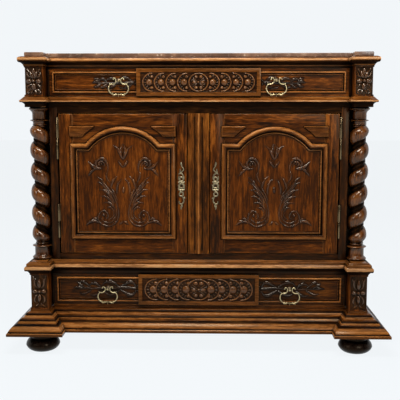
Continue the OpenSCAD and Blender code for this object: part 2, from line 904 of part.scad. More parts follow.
module lock_case_at(side) {
    wall = 2;
    color(iron) place() on_side(side)
        difference() {
            translate([door_in, lock_y, keyhole_z - lock_case.z / 2])
                cube(lock_case);
            translate([door_in - 1, lock_y + (lock_case.y - bolt.y) / 2 - 0.1, keyhole_z - bolt.z / 2 - 0.1])
                cube([bolt.x + wall + 1, bolt.y + 0.2, bolt.z + 0.2]);
            keyhole(lock_y - 1, lock_y + wall + 1);
        }
}

module lock_bolt(side) {
    color(brass) place() on_side(side)
        translate([door_in + 0.2, lock_y + (lock_case.y - bolt.y) / 2, keyhole_z - bolt.z / 2])
            cube(bolt);
}

// The field beside a carved panel, inside a margin on its three free sides
module side_frame(z0, z1, margin) {
    translate([carved_w / 2, z0 + margin])
        square([drawer_half - carved_w / 2 - margin, z1 - z0 - 2 * margin]);
}

// A drawer front with a double bead on each side of its carved panel
module drawer_front(z0, z1) {
    color(walnut) place() {
        block([-drawer_half, 0, z0], [drawer_half, drawer_front_t, z1]);
        both()
            for (bead = [[0, bead_w, bead_t], [bead_w, inner_bead_w, inner_bead_t]])
                along_y(-bead[2], 0)
                    difference() {
                        side_frame(z0, z1, bead_margin + bead[0]);
                        translate([-1, 0])
                            side_frame(z0, z1, bead_margin + bead[0] + bead[1]);
                    }
    }
}

// Sides, back and bottom of a drawer, each its own board
module drawer_box(z0, z1) {
    g = joint_gap;
    y0 = drawer_front_t + g;
    y1 = back_front - drawer_back_gap;
    low = z0 - front_gap + run_gap;
    top = z1 - kicker_gap - 4;
    floor_z = low + 8;
    x1 = drawer_side_x;
    x0 = x1 - drawer_side_t;
    color(inner_wood) place() {
        both()
            block([x0, y0, low], [x1, y1, top]);
        block([-x0 + g, y1 - drawer_side_t, floor_z + drawer_bottom_t + g], [x0 - g, y1, top - 4]);
        block([-x0 + g, y0, floor_z], [x0 - g, y1, floor_z + drawer_bottom_t]);
    }
}

module carved_panel(z0, z1) {
    rim = carved_rim;
    half = carved_w / 2;
    color(walnut_light) place()
        difference() {
            block([-half, -carved_t, z0], [half, 0, z1]);
            block([rim - half, -carved_t - 1, z0 + rim], [half - rim, carved_sink - carved_t, z1 - rim]);
        }
}

// A pull's rose, stem and cross pin
module pull_post(x, z) {
    translate([x, 0, z])
        rotate([90, 0, 0]) {
            cylinder(r = pull_rose_r, h = pull_rose_t);
            cylinder(r = pull_stem_r, h = pull_stand + 1);
            translate([0, 0, pull_stand + 1])
                sphere(r = pull_ball_r);
        }
    translate([x, -pull_stand, z])
        rotate([0, 90, 0])
            cylinder(r = bail_pin_r, h = 2 * (bail_eye_x + bail_eye_w + 1), center = true);
}

module pull_posts(span, shift, z) {
    color(brass) place()
        for (s = [-1, 1])
            pull_post(shift + s * span / 2, z);
}

// Part of a rod bent round a centre in the x and z plane
module bend(centre, r, from, sweep) {
    translate([centre.x, 0, centre.y])
        rotate([90, 0, 0])
            rotate([0, 0, from])
                rotate_extrude(angle = sweep)
                    translate([r, 0])
                        circle(r = bail_rod_r);
}

// One arm of a bail from its eye to the lower bar, with the curl over the eye
module bail_arm() {
    translate([bail_eye_x, 0, 0])
        rotate([0, 90, 0])
            cylinder(r = eye_r, h = bail_eye_w);
    bend([bend_x, 0], bail_bend_r, 180, 90);
    bend([bend_x, corner_z], bail_shoulder_r, 0, 90);
    bend([corner_x, corner_z], bail_corner_r, 270, 90);
    bend([bend_x - bail_bend_r + 4.5, 1], 4.5, 20, 160);
    translate([bend_x - bail_bend_r + 9, 0, 2])
        sphere(r = 3.6);
    translate([corner_x / 2, 0, bail_low_z])
        sphere(r = 3.8);
}

// A bail hanging from its pivot at the origin
module bail() {
    difference() {
        union() {
            bail_arm();
            left() bail_arm();
            translate([0, 0, bail_low_z])
                rotate([0, 90, 0])
                    cylinder(r = bail_rod_r, h = 2 * corner_x, center = true);
            translate([0, 0, bail_low_z])
                sphere(r = 4.4);
        }
        rotate([0, 90, 0])
            cylinder(r = bail_pin_r + pin_play, h = 2 * (bail_eye_x + bail_eye_w + 4), center = true);
    }
}

upper_pull_z = (upper_front_z + upper_front_top) / 2 + pull_lift;
lower_pull_z = (lower_front_z + lower_front_top) / 2 + pull_lift / 2;
module upper_bail(side) {
    color(brass) place()
        translate([upper_pull_shift + side * upper_pull_span / 2, -pull_stand, upper_pull_z])
            bail();
}

module lower_bail(side) {
    color(brass) place()
        translate([side * lower_pull_span / 2, -pull_stand, lower_pull_z])
            bail();
}

marble_top();
top_board();
cornice_lengths();
cornice_caps();
corner_block(-1, upper_z, upper_block_h);  // upper_left_block
corner_block(1, upper_z, upper_block_h);  // upper_right_block
waist_lengths();
waist_caps();
twisted_column(-1);  // left_column
twisted_column(1);  // right_column
sill_lengths();
sill_caps();
corner_block(-1, plinth_top, lower_block_h);  // lower_left_block
corner_block(1, plinth_top, lower_block_h);  // lower_right_block
plinth_lengths();
plinth_corner(-1);  // plinth_left_corner
plinth_corner(1);  // plinth_right_corner
front_foot(-1);  // front_left_foot
front_foot(1);  // front_right_foot
rear_feet();
corner_posts();
side_panel(-1);  // left_side_panel
side_panel(1);  // right_side_panel
back_boards();
cupboard_floor();
drawer_dust_board();
base_board();
shelf();
shelf_cleats();
face_frame();
centre_muntin();
drawer_guides();
hinge_pins();
door_frame(-1);  // left_door_frame
door_panel(-1);  // left_door_panel
door_moulding(-1);  // left_door_moulding
door_hinges(-1);  // left_door_hinges
escutcheon(-1);  // left_escutcheon
lock_case_at(-1);  // left_lock_case
lock_bolt(-1);  // left_lock_bolt
door_frame(1);  // right_door_frame
door_panel(1);  // right_door_panel
door_moulding(1);  // right_door_moulding
door_hinges(1);  // right_door_hinges
escutcheon(1);  // right_escutcheon
lock_case_at(1);  // right_lock_case
lock_bolt(1);  // right_lock_bolt
drawer_front(upper_front_z, upper_front_top);  // upper_drawer_front
drawer_box(upper_front_z, upper_front_top);  // upper_drawer_box
carved_panel(upper_front_z + 1, upper_front_top - 1);  // upper_carved_panel
pull_posts(upper_pull_span, upper_pull_shift, upper_pull_z);  // upper_pull_posts
upper_bail(-1);  // upper_left_bail
upper_bail(1);  // upper_right_bail
drawer_front(lower_front_z, lower_front_top);  // lower_drawer_front
drawer_box(lower_front_z, lower_front_top);  // lower_drawer_box
carved_panel(lower_front_z + 1, lower_front_top - 1);  // lower_carved_panel
pull_posts(lower_pull_span, 0, lower_pull_z);  // lower_pull_posts
lower_bail(-1);  // lower_left_bail
lower_bail(1);  // lower_right_bail
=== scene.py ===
import math
import bmesh
import bpy
from mathutils import Matrix, Vector


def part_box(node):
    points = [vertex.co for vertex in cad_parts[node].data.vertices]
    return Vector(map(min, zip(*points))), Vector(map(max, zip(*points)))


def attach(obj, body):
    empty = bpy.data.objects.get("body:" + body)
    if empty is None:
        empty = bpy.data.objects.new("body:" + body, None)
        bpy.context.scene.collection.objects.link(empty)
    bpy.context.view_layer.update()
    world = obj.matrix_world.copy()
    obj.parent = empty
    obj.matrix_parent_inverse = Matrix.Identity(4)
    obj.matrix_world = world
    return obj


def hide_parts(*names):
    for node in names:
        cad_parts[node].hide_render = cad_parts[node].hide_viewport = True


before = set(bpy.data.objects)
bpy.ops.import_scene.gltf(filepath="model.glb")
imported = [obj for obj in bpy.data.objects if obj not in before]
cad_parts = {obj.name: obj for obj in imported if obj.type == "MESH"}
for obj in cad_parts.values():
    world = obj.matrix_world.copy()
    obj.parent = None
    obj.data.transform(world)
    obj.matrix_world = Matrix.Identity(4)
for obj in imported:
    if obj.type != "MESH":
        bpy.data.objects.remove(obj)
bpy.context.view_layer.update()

# Studio. A plain pale sweep under soft boxes: one high over the front, one at each side and one
# behind. The room behind the camera is dim, so the polished fronts stay dark between lights.
scene = bpy.context.scene
scene.view_settings.view_transform = "Standard"
paper = (0.888, 0.922, 0.947)


def clear():
    """Leaves nothing selected, so that the next tool acts on its own piece alone"""
    bpy.ops.object.select_all(action="DESELECT")


clear()
bpy.ops.object.camera_add(location=(0.0654, -2.7906, 0.8877),
                          rotation=(math.radians(83.022), 0, math.radians(1.295)))
scene.camera = bpy.context.object
scene.camera.data.lens = 64.73
scene.camera.data.sensor_width = 36


class Tone:
    """A value or colour on its way to a finish; arithmetic on values adds Math nodes"""

    def __init__(self, finish, socket):
        self.finish, self.socket = finish, socket

    def reckon(self, operation, other):
        return self.finish.node("Math", {"operation": operation}, {0: self, 1: other})

    def __add__(self, other):
        return self.reckon("ADD", other)

    def __sub__(self, other):
        return self.reckon("SUBTRACT", other)

    def __mul__(self, other):
        return self.reckon("MULTIPLY", other)

    def __gt__(self, other):
        return self.reckon("GREATER_THAN", other)

    __radd__ = __add__


class Finish:
    """The nodes of one finish, in a material's or the world's tree"""

    def __init__(self, owner):
        owner.use_nodes = True
        self.owner, self.tree = owner, owner.node_tree
        self.tree.nodes.clear()

    def node(self, kind, settings=None, values=None, out=0):
        made = self.tree.nodes.new("ShaderNode" + kind)
        for name, value in (settings or {}).items():
            setattr(made, name, value)
        for name, value in (values or {}).items():
            if isinstance(value, Tone):
                self.tree.links.new(value.socket, made.inputs[name])
            else:
                made.inputs[name].default_value = value
        return Tone(self, made.outputs[out]) if made.outputs else None

    def ramp(self, share, *stops):
        """A colour ramp through (place, colour) stops that are given in order"""
        made = self.node("ValToRGB", values={"Fac": share})
        marks = made.socket.node.color_ramp.elements
        marks[0].position, marks[1].position = stops[0][0], stops[-1][0]
        for place, colour in stops[1:-1]:
            marks.new(place)
        for mark, (place, colour) in zip(marks, stops):
            mark.color = (*colour, 1)
        return made

    def noise(self, vector, scale, detail, rough=0.5, distortion=0.0):
        return self.node("TexNoise", values={"Vector": vector, "Scale": scale, "Detail": detail,
                                             "Roughness": rough, "Distortion": distortion})

    def hollows(self, reach):
        """1 on open faces, less in corners and in hollows that lie within reach"""
        return self.node("AmbientOcclusion", {"samples": 8}, {"Distance": reach}, out="AO")

    def mixed(self, share, first, second, way="MIX"):
        first, second = [c if isinstance(c, Tone) else (*c, 1) for c in (first, second)]
        return self.node("Mix", {"data_type": "RGBA", "blend_type": way},
                         {0: share, 6: first, 7: second}, out=2)

    def surface(self, colour, rough, bump, others=None):
        """The shader, with a bump given by its strength, distance and height"""
        normal = self.node("Bump", values=dict(zip(("Strength", "Distance", "Height"), bump)))
        self.node("OutputMaterial", values={"Surface": self.node("BsdfPrincipled", values={
            "Base Color": colour, "Roughness": rough, "Normal": normal, **(others or {})})})
        return self.owner


def seen(finish):
    """1 where a ray goes on to the eye straight, from a gloss or through glass"""
    return finish.node("Math", {"operation": "MAXIMUM"}, {
        0: finish.node("LightPath", out="Is Camera Ray"),
        1: finish.node("Math", {"operation": "MAXIMUM"}, {
            0: finish.node("LightPath", out="Is Glossy Ray"),
            1: finish.node("LightPath", out="Is Transmission Ray")})})


air = bpy.data.worlds.new("studio_air")
scene.world = air
air_finish = Finish(air)
air_room = air_finish.node("Background", values={"Color": (0.06, 0.06, 0.062, 1), "Strength": 1})
air_sweep = air_finish.node("Background", values={"Color": (*paper, 1), "Strength": 1})
air_ahead = air_finish.node("SeparateXYZ", values={
    "Vector": air_finish.node("TexCoord", out="Generated")}, out="Y") > -0.15
air_finish.node("OutputWorld", values={"Surface": air_finish.node("MixShader", values={
    0: air_finish.node("Math", {"operation": "MAXIMUM"}, {
        0: air_finish.node("LightPath", out="Is Camera Ray"), 1: seen(air_finish) * air_ahead}),
    1: air_room, 2: air_sweep})})

for name, place, wide, high, power in (("lamp_over_front", (-0.15, -1.3, 2.45), 1.3, 0.4, 51),
                                       ("lamp_right", (1.45, -2.9, 1.8), 0.6, 0.6, 27),
                                       ("lamp_left", (-2.4, -1.9, 1.6), 0.22, 0.8, 11),
                                       ("lamp_behind", (0.0, 2.0, 2.6), 1.6, 1.6, 20)):
    bpy.ops.object.light_add(type="AREA", location=place)
    lamp = bpy.context.object
    lamp.name = name
    lamp.data.shape = "RECTANGLE"
    lamp.data.size, lamp.data.size_y = wide, high
    lamp.data.energy = power
    towards = Vector((0, -0.05, 0.6)) - lamp.location
    lamp.rotation_euler = towards.to_track_quat("-Z", "Y").to_euler()

clear()
bpy.ops.mesh.primitive_plane_add(size=40)
floor = bpy.context.object
floor.name = "studio_floor"
floor_finish = Finish(bpy.data.materials.new("pale_floor"))
floor_finish.node("OutputMaterial", values={"Surface": floor_finish.node("MixShader", values={
    0: seen(floor_finish) * 0.86,
    1: floor_finish.node("BsdfDiffuse", values={"Color": (0.36, 0.38, 0.40, 1)}),
    2: floor_finish.node("Emission", values={"Color": (0.939, 0.975, 1, 1), "Strength": 1.063})})})
floor.data.materials.append(floor_finish.owner)

# Feet: flattened walnut balls, turned on the lathe and stained nearly black. The plinth stands on
# the straight neck of each.
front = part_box("face_frame")[0].y


def hold(*pieces):
    """Selects these pieces and no others, with the first of them active"""
    clear()
    for piece in pieces:
        piece.select_set(True)
    bpy.context.view_layer.objects.active = pieces[0]


def begin(piece, mode="FACE"):
    hold(piece)
    bpy.ops.object.mode_set(mode="EDIT")
    bpy.ops.mesh.select_mode(type=mode)
    bpy.ops.mesh.select_all(action="SELECT")


def end():
    bpy.ops.object.mode_set(mode="OBJECT")


def outward(piece):
    """Turns the selected faces of the piece in hand outwards and leaves edit mode"""
    bpy.ops.mesh.normals_make_consistent(inside=False)
    end()
    return piece


def drawn(points, fill="NGON"):
    """A disc whose rim is drawn to an outline of points, in millimetres from the middle front"""
    clear()
    bpy.ops.mesh.primitive_circle_add(vertices=len(points), radius=1, fill_type=fill)
    piece = bpy.context.object
    for vertex, point in zip(piece.data.vertices, points):
        vertex.co = point
    return piece


def turned(outline, centre, steps=48):
    """Lathe work: (radius, height) points spun round an upright axis"""
    x, y = centre
    piece = drawn([(x, y, outline[0][1])] + [(x + r, y, z) for r, z in outline]
                  + [(x, y, outline[-1][1])], "NOTHING")
    begin(piece, "VERT")
    bpy.ops.mesh.spin(steps=steps, angle=2 * math.pi, center=(x, y, 0), axis=(0, 0, 1))
    bpy.ops.mesh.select_all(action="SELECT")
    bpy.ops.mesh.remove_doubles(threshold=0.02)
    bpy.ops.mesh.delete_loose()
    bpy.ops.mesh.select_all(action="SELECT")
    return outward(piece)


def joined(pieces):
    hold(*pieces)
    if len(pieces) > 1:
        bpy.ops.object.join()
    return pieces[0]


def doubled(piece):
    twin = piece.copy()
    twin.data = piece.data.copy()
    scene.collection.objects.link(twin)
    return twin


def mirrored(piece):
    """The other hand of a piece, across the middle of the cabinet"""
    twin = doubled(piece)
    twin.data.transform(Matrix.Scale(-1, 4, (1, 0, 0)))
    begin(twin)
    bpy.ops.mesh.remove_doubles(threshold=0.001)
    return outward(twin)


def painted(piece, *materials):
    piece.data.materials.clear()
    for material in materials:
        piece.data.materials.append(material)
    return piece


def touched(piece, material, wanted):
    """Gives one more material to the faces that a test on their middle and normal wants"""
    piece.data.materials.append(material)
    for face in piece.data.polygons:
        if wanted(face.center, face.normal):
            face.material_index = len(piece.data.materials) - 1
    return piece


def eased_edges(piece, width, segments=2, angle=38):
    """Takes the sharpness off the arrises, then smooths what is left but the true corners"""
    hold(piece)
    if width:
        softened = piece.modifiers.new("eased", "BEVEL")
        softened.width, softened.segments = width, segments
        softened.limit_method, softened.angle_limit = "ANGLE", math.radians(angle)
        bpy.ops.object.modifier_apply(modifier="eased")
    bpy.ops.object.shade_smooth_by_angle(angle=math.radians(angle))
    return piece


def placed(piece, name, node=None, body="cabinet", slot="walnut", angle=38):
    """Millimetres from the middle front become metres in the cabinet's frame"""
    eased_edges(piece, 0, angle=angle)
    bpy.ops.object.transform_apply(location=True, rotation=True, scale=True)
    piece.data.transform(Matrix.Translation((0, front, 0)) @ Matrix.Scale(0.001, 4))
    piece.name = name
    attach(piece, body)
    if node:
        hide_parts(node)


def walnut(grain, name="walnut", dark=(0.012, 0.0028, 0.0006), middle=(0.062, 0.0145, 0.0014),
           light=(0.25, 0.068, 0.007), rough=0.36, shine=0.16, deep=0.038, worn=0.0):
    """Waxed old walnut, its grain along one axis: streaks, pores, edges paled by wear and by
    painted highlight, hollows darkened by grime and by painted shade
    """
    known = bpy.data.materials.get(f"{name}_{grain}")
    if known:
        return known
    finish = Finish(bpy.data.materials.new(f"{name}_{grain}"))
    place = finish.node("TexCoord", out="Object")

    def cloud(lengthwise, across, detail, distortion=0.0):
        scale = [lengthwise if axis == grain else across for axis in "xyz"]
        drawn_out = finish.node("Mapping", values={"Vector": place, "Scale": scale})
        return finish.noise(drawn_out, 1.0, detail, 0.62, distortion)

    figure = cloud(7, 62, 5, 0.9)
    streak = cloud(24, 170, 3, 0.4)
    pores = cloud(70, 1300, 2)
    age = cloud(4, 7, 3)
    colour = finish.ramp(figure * 0.58 + streak * 0.42 + (age - 0.5) * 0.35, (0.40, dark),
                         (0.48, middle), (0.54, [1.6 * c for c in middle]), (0.63, light))
    pitted = finish.ramp(pores, (0.36, (0.25, 0.25, 0.25)), (0.47, (1, 1, 1)))
    # Hollows within deep and creases within 7 mm go darker: grime, and painted shade where light
    # falls short
    hollow_grime_and_shade = finish.ramp(finish.hollows(deep), (0.22, (0.03, 0.024, 0.02)),
                       (0.62, (0.36, 0.33, 0.31)), (0.94, (1, 1, 1)))
    crevice_grime_and_shade = finish.ramp(finish.hollows(0.007), (0.38, (0.06, 0.05, 0.045)), (0.86, (1, 1, 1)))
    for share, mask in ((0.6, pitted), (1.0, hollow_grime_and_shade), (1.0, crevice_grime_and_shade)):
        colour = finish.mixed(share, colour, mask, "MULTIPLY")
    # Convex edges go towards the light tone: wear, and a painted highlight along them
    if worn:
        edge = finish.ramp(finish.node("NewGeometry", out="Pointiness"),
                           (0.515, (0, 0, 0)), (0.58, (1, 1, 1)))
        colour = finish.mixed(edge * worn, colour, light)
    tint = (1, 0.78, 0.52, 1) if shine < 0.3 else (1, 0.88, 0.72, 1)
    return finish.surface(colour, rough + (streak - 0.5) * 0.25,
                          (0.16, 0.0006, streak * 0.5 + pores * 0.5),
                          {"Specular IOR Level": shine, "Specular Tint": tint})


def variant(name, *values, **others):
    """Walnut in other tones, to be asked for by the axis that its grain runs along"""
    return lambda grain: walnut(grain, name, *values, **others)


def bent(start, finish, sag, steps=8):
    """Points of a bowed line that swells to the right by sag"""
    (ax, az), (bx, bz) = start, finish
    length = math.hypot(bx - ax, bz - az)
    nx, nz = (bz - az) / length, (ax - bx) / length
    points = []
    for i in range(steps + 1):
        t = i / steps
        s = 4 * sag * t * (1 - t)
        points.append((ax + (bx - ax) * t + nx * s, az + (bz - az) * t + nz * s))
    return points


stained = variant("stained_walnut", (0.006, 0.003, 0.002), (0.016, 0.008, 0.005),
                  (0.035, 0.017, 0.009), 0.3)
bun = [(1, 0)] + bent((44, 0), (63, 20.7), 3.2) + bent((63, 20.7), (45, 46), 4.2, 10)[1:] \
    + [(42.5, 47), (42, 49), (42, 75)]
foot_nodes = {"front_left_foot": [(-587, -28)], "front_right_foot": [(587, -28)],
              "rear_feet": [(-587, 343), (587, 343)]}
for node, centres in foot_nodes.items():
    foot = joined([turned(bun, centre) for centre in centres])
    placed(painted(foot, stained("z")), node + "_turned", node, slot="dark_walnut")

# Plinth, sill, waist and cornice mouldings: walnut lengths planed to their section and mitred
# round the blocks, which they cap with a square of solid wood.
block_in, block_out, block_front, block_back, body_back = 555, 624, -56, 55, 410
polished_walnut = variant("polished_walnut", (0.030, 0.0078, 0.0011), (0.064, 0.0168, 0.0021),
                          (0.16, 0.050, 0.008), 0.26, 0.2, 0.016, 0.4)
# Crests and rims that years of waxing have left bright, lightened further as a painted highlight
waxed_and_highlit = variant("waxed_walnut", (0.075, 0.021, 0.0032), (0.135, 0.040, 0.006),
                (0.28, 0.10, 0.019), 0.26, 0.25, 0.012, 0.4)
# Noses that hands and dusters have rubbed pale, and paler still as a painted highlight
rubbed_and_highlit = variant("rubbed_walnut", (0.24, 0.090, 0.023), (0.41, 0.175, 0.056),
                 (0.62, 0.33, 0.135), 0.26, 0.35, 0.012, 0.4)
# Rounds that stand proud, between the waxed and the rubbed, their crests pale as a painted
# highlight
burnished_and_highlit = variant("burnished_walnut", (0.12, 0.038, 0.007), (0.23, 0.077, 0.015),
                    (0.42, 0.165, 0.040), 0.26, 0.28, 0.012, 0.4)
# Undersides, recesses and grounds, dark with old wax and dust, and darker still as painted shade
dust_and_shade = variant("aged_walnut", (0.004, 0.0012, 0.0005), (0.013, 0.0040, 0.0010),
               (0.05, 0.017, 0.003), 0.45, 0.06)


def run(section, start, finish, out, first_cut=None, last_cut=None):
    """One length: its section is drawn square to the wall, pushed along it and cut at each end"""
    start, finish, out = Vector((*start, 0)), Vector((*finish, 0)), Vector((*out, 0))
    way = (finish - start).normalized()
    spare = 1.3 * max(o for o, z in section) + 5
    piece = drawn([start - way * spare + out * o + Vector((0, 0, z)) for o, z in section])
    begin(piece)
    push = way * ((finish - start).length + 2 * spare)
    bpy.ops.mesh.extrude_region_move(TRANSFORM_OT_translate={"value": push})
    for place, cut, side in ((start, first_cut, -1), (finish, last_cut, 1)):
        across = Vector((*cut, 0)) if cut else out
        normal = Vector((across.y, -across.x, 0)).normalized()
        if normal.dot(way) * side < 0:
            normal = -normal
        bpy.ops.mesh.select_all(action="SELECT")
        bpy.ops.mesh.bisect(plane_co=place, plane_no=normal, use_fill=True, clear_outer=True)
    bpy.ops.mesh.select_all(action="SELECT")
    return outward(piece)


def raised(plan, low, high):
    """A board whose plan lies flat, pushed up to its height"""
    piece = drawn([(x, y, low) for x, y in plan])
    begin(piece)
    bpy.ops.mesh.extrude_region_move(TRANSFORM_OT_translate={"value": (0, 0, high - low)})
    bpy.ops.mesh.select_all(action="SELECT")
    return outward(piece)


def squared(low, high, *materials):
    """A plain block between two corners"""
    (x0, y0, z0), (x1, y1, z1) = low, high
    return painted(raised([(x0, y0), (x1, y0), (x1, y1), (x0, y1)], z0, z1), *materials)


def worn_lit_and_shaded(piece, name, base, height):
    """Noses rubbed pale and brightened as painted highlight, undersides and quirks dark with dust
    and painted shade: the wood of each face goes by the band of the moulding that it lies in,
    given as the top of the band and its tone"""
    bands = {"cornice": ((0.12, 0), (0.15, 2), (0.53, 3), (0.6, 0), (0.82, 1), (0.88, 0), (1, 3)),
             "waist": ((0.3, 2), (0.44, 0), (0.62, 1), (1, 0)),
             "sill": ((0.1, 2), (0.38, 0), (0.63, 1), (1, 0)),
             "plinth": ((0.07, 3), (0.14, 1), (0.185, 2), (0.255, 0), (0.365, 1), (0.405, 0),
                        (0.475, 2), (0.545, 0), (0.585, 1), (0.655, 2), (0.695, 3), (0.765, 1),
                        (0.87, 2), (1, 3))}[name]
    nose = burnished_and_highlit if name == "plinth" else rubbed_and_highlit
    painted(piece, *[wood(grain) for grain in "xy"
                     for wood in (waxed_and_highlit, nose, dust_and_shade, polished_walnut)])
    for face in piece.data.polygons:
        share = (face.center.z - base) / height
        tone = next((tone for top, tone in bands if share <= top), 0)
        # Faces that look down take the dark wood: painted shade under the moulding
        if face.normal.z < -0.22:
            tone = 2
        elif face.normal.z > 0.97 and tone == 1:
            tone = 0
        face.material_index = tone + (4 if abs(face.normal.x) > abs(face.normal.y) else 0)


def moulding(shape, out, height, base):
    """The middle and side lengths, and the mitred cap over the right block; the inner side of
    the cap comes out less than the rest"""
    share = 0.85
    section = [(o * out, base + z * height) for o, z in shape]
    inner = [(o * share, z) for o, z in section]
    wall, deep = [[(o, base + height), (o, base)] for o in (0, -6)]
    lengths = [run(section + wall, (-block_in, 0), (block_in, 0), (0, -1), (share, -1),
                   (-share, -1))]
    lengths += [run(section + wall, (s * block_out, block_back), (s * block_out, body_back),
                    (s, 0)) for s in (-1, 1)]
    cap = [run(inner + deep, (block_in, 0), (block_in, block_front), (-1, 0), None, (-share, -1)),
           run(section + deep, (block_in, block_front), (block_out, block_front), (0, -1),
               (-share, -1), (1, -1)),
           run(section + deep, (block_out, block_front), (block_out, block_back), (1, 0), (1, -1)),
           squared((block_in, block_front, base), (block_out, block_back, base + height))]
    return joined(lengths), joined(cap)


shapes = {
    "cornice": ([(0.02, 0), (0.1, 0), (0.12, 0.14), (0.2, 0.14)]
                + bent((0.22, 0.18), (0.84, 0.36), -0.05)
                + bent((0.93, 0.44), (0.7, 0.93), 0.2) + [(0.35, 1)], 18.5, 33, 1052),
    "waist": ([(0.02, 0), (0.02, 0.25)] + bent((0.04, 0.27), (0.88, 0.46), -0.07)
              + bent((0.94, 0.48), (0.84, 0.67), 0.1) + [(0.42, 0.85), (0.06, 1)], 16, 38, 905),
    "sill": ([(0.02, 0)] + bent((0.05, 0.02), (0.82, 0.25), -0.08)
             + bent((0.88, 0.27), (0.84, 0.62), 0.125) + [(0.6, 0.65), (0.56, 0.69)]
             + bent((0.58, 0.70), (0.42, 0.89), 0.08) + [(0.2, 0.92), (0.1, 1)], 16.5, 44, 294),
    "plinth": ([(0.02, 0), (1, 0), (1, 0.11), (0.965, 0.14)]
               + bent((0.95, 0.155), (0.59, 0.47), 0.045, 10) + [(0.55, 0.475)]
               + bent((0.535, 0.5), (0.31, 0.71), 0.035) + [(0.27, 0.715)]
               + bent((0.25, 0.735), (0.02, 0.93), 0.05) + [(0.01, 0.94), (0.01, 1)], 74, 83, 75)}
for name, (shape, out, height, base) in shapes.items():
    lengths, cap = moulding(shape, out, height, base)
    pieces = {name + "_lengths": lengths}
    if name == "plinth":
        pieces.update({"plinth_left_corner": mirrored(cap), "plinth_right_corner": cap})
    else:
        pieces[name + "_caps"] = joined([cap, mirrored(cap)])
    for node, piece in pieces.items():
        worn_lit_and_shaded(eased_edges(piece, 0.5), name, base, height)
        placed(piece, node + "_planed", node,
               slot="walnut" if "corner" in node else "polished_walnut")

# Carcass: posts, sides and face frame of walnut, with plain boards behind and inside. Arrises are
# eased by wear, and each board keeps the grain along its own length.
rail_low, rail_high = 0.885, 0.92


def grain_of(piece):
    """The axis a board is longest along"""
    size = [max(v.co[i] for v in piece.data.vertices) - min(v.co[i] for v in piece.data.vertices)
            for i in range(3)]
    return "xyz"[size.index(max(size))]


def copied(node, wood, width=0.0009, body="cabinet", segments=2):
    """A node's own boards with eased arrises, each painted with the grain along its length"""
    piece = doubled(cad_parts[node])
    piece.parent = None
    for key in list(piece.keys()):
        del piece[key]
    begin(piece, "VERT")
    bpy.ops.mesh.remove_doubles(threshold=0.000005)
    bpy.ops.mesh.dissolve_limited(angle_limit=math.radians(1.5))
    bpy.ops.mesh.separate(type="LOOSE")
    end()
    boards = list(bpy.context.selected_objects)
    for board in boards:
        painted(board, wood(grain_of(board)) if callable(wood) else wood)
        eased_edges(board, width, segments)
        # Bevelled arrises of walnut boards take the pale waxed wood: a painted highlight along
        # each edge
        if wood is walnut and width:
            touched(board, waxed_and_highlit(grain_of(board)), lambda at, way: max(map(abs, way)) < 0.97)
    piece = joined(boards)
    piece.name = node + "_eased"
    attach(piece, body)
    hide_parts(node)
    return piece


# Walnut painted darker as shade, with a long reach of painted shade into its hollows
shaded = variant("shaded_walnut", (0.008, 0.0022, 0.0005), (0.022, 0.0053, 0.0007),
                 (0.08, 0.023, 0.003), deep=0.075)
inner = variant("inner_wood", (0.13, 0.074, 0.036), (0.19, 0.112, 0.056),
                (0.27, 0.168, 0.088), 0.6)
for node in ("corner_posts", "left_side_panel", "right_side_panel", "base_board"):
    copied(node, walnut)
# The face frame is in the shaded walnut, and its head rail under the waist in the dark wood: both
# painted shade
touched(copied("face_frame", shaded), dust_and_shade("x"), lambda at, way: rail_low < at.z < rail_high)
copied("back_boards", inner, 0.003)
for node in ("cupboard_floor", "drawer_dust_board", "shelf", "shelf_cleats",
             "drawer_guides", "top_board"):
    copied(node, inner)

# Centre muntin: the post between the doors. Its reeded and grooved face board is planed in one
# section, and the core behind it leaves the two mortises of the door bolts open.
reed_r, reed_y, groove_x, half_groove, groove_d = 13, 8, 14, 2.5, 4
foot_z, groove_low, groove_high, head_z = 360.7, 373.7, 869.8, 882.8
mortise_low, mortise_high = 607, 625
bowed = [(reed_r * math.sin(a), reed_y - reed_r * math.cos(a))
         for a in map(math.radians, range(-52, 53, 8))]
channel = [(groove_x - half_groove, 0), (groove_x - half_groove + 0.6, groove_d),
           (groove_x + half_groove - 0.6, groove_d), (groove_x + half_groove, 0)]
reeded_walnut = variant("reeded_walnut", (0.026, 0.0066, 0.0009), (0.086, 0.0235, 0.0028),
                        (0.25, 0.080, 0.010), deep=0.012)


def face_board(low, high, side=()):
    """A length of the face, with a groove at each side of the reed where one is given"""
    right = [*side, (38.8, 0), (40, 1.2), (40, 13)]
    left = [(-x, y) for x, y in reversed(right)]
    # The forward-facing crest of the reed takes the burnished wood, a painted highlight
    return touched(painted(raised(left + bowed + right, low, high), reeded_walnut("z")),
                   burnished_and_highlit("z"), lambda at, way: abs(at.x) < 3 and way.y < -0.5)


muntin = [face_board(groove_low, groove_high, channel), face_board(foot_z, groove_low),
          face_board(groove_high, head_z)]
# The core and the lap behind the face board take the dark wood, painted shade
muntin += [squared((-half, near, low), (half, far, high), dust_and_shade("z"))
           for half, near, far, low, high in ((40, 13.2, 24.3, foot_z, mortise_low),
                                              (27, 13.2, 24.3, mortise_low, mortise_high),
                                              (40, 13.2, 24.3, mortise_high, head_z),
                                              (52, 24.5, 36.5, foot_z, head_z))]
placed(joined(muntin), "centre_muntin_reeded", "centre_muntin")

# Corner blocks: a square of walnut over and under each column, with a sunk field on its two shown
# faces. The front field of the upper ones has a carved flower, that of the lower ones a spray of
# leaves.
block_mid, field_y, field_reach, up = (block_in + block_out) / 2, block_front + 3, 28, math.pi / 2
ground_walnut = variant("ground_walnut", (0.008, 0.0024, 0.0006), (0.024, 0.0072, 0.0013),
                        (0.08, 0.027, 0.006), deep=0.02)
glossy_walnut = variant("glossy_walnut", (0.018, 0.0058, 0.0014), (0.046, 0.0150, 0.0034),
                        (0.13, 0.050, 0.014), 0.16, 0.6, 0.016, 0.3)


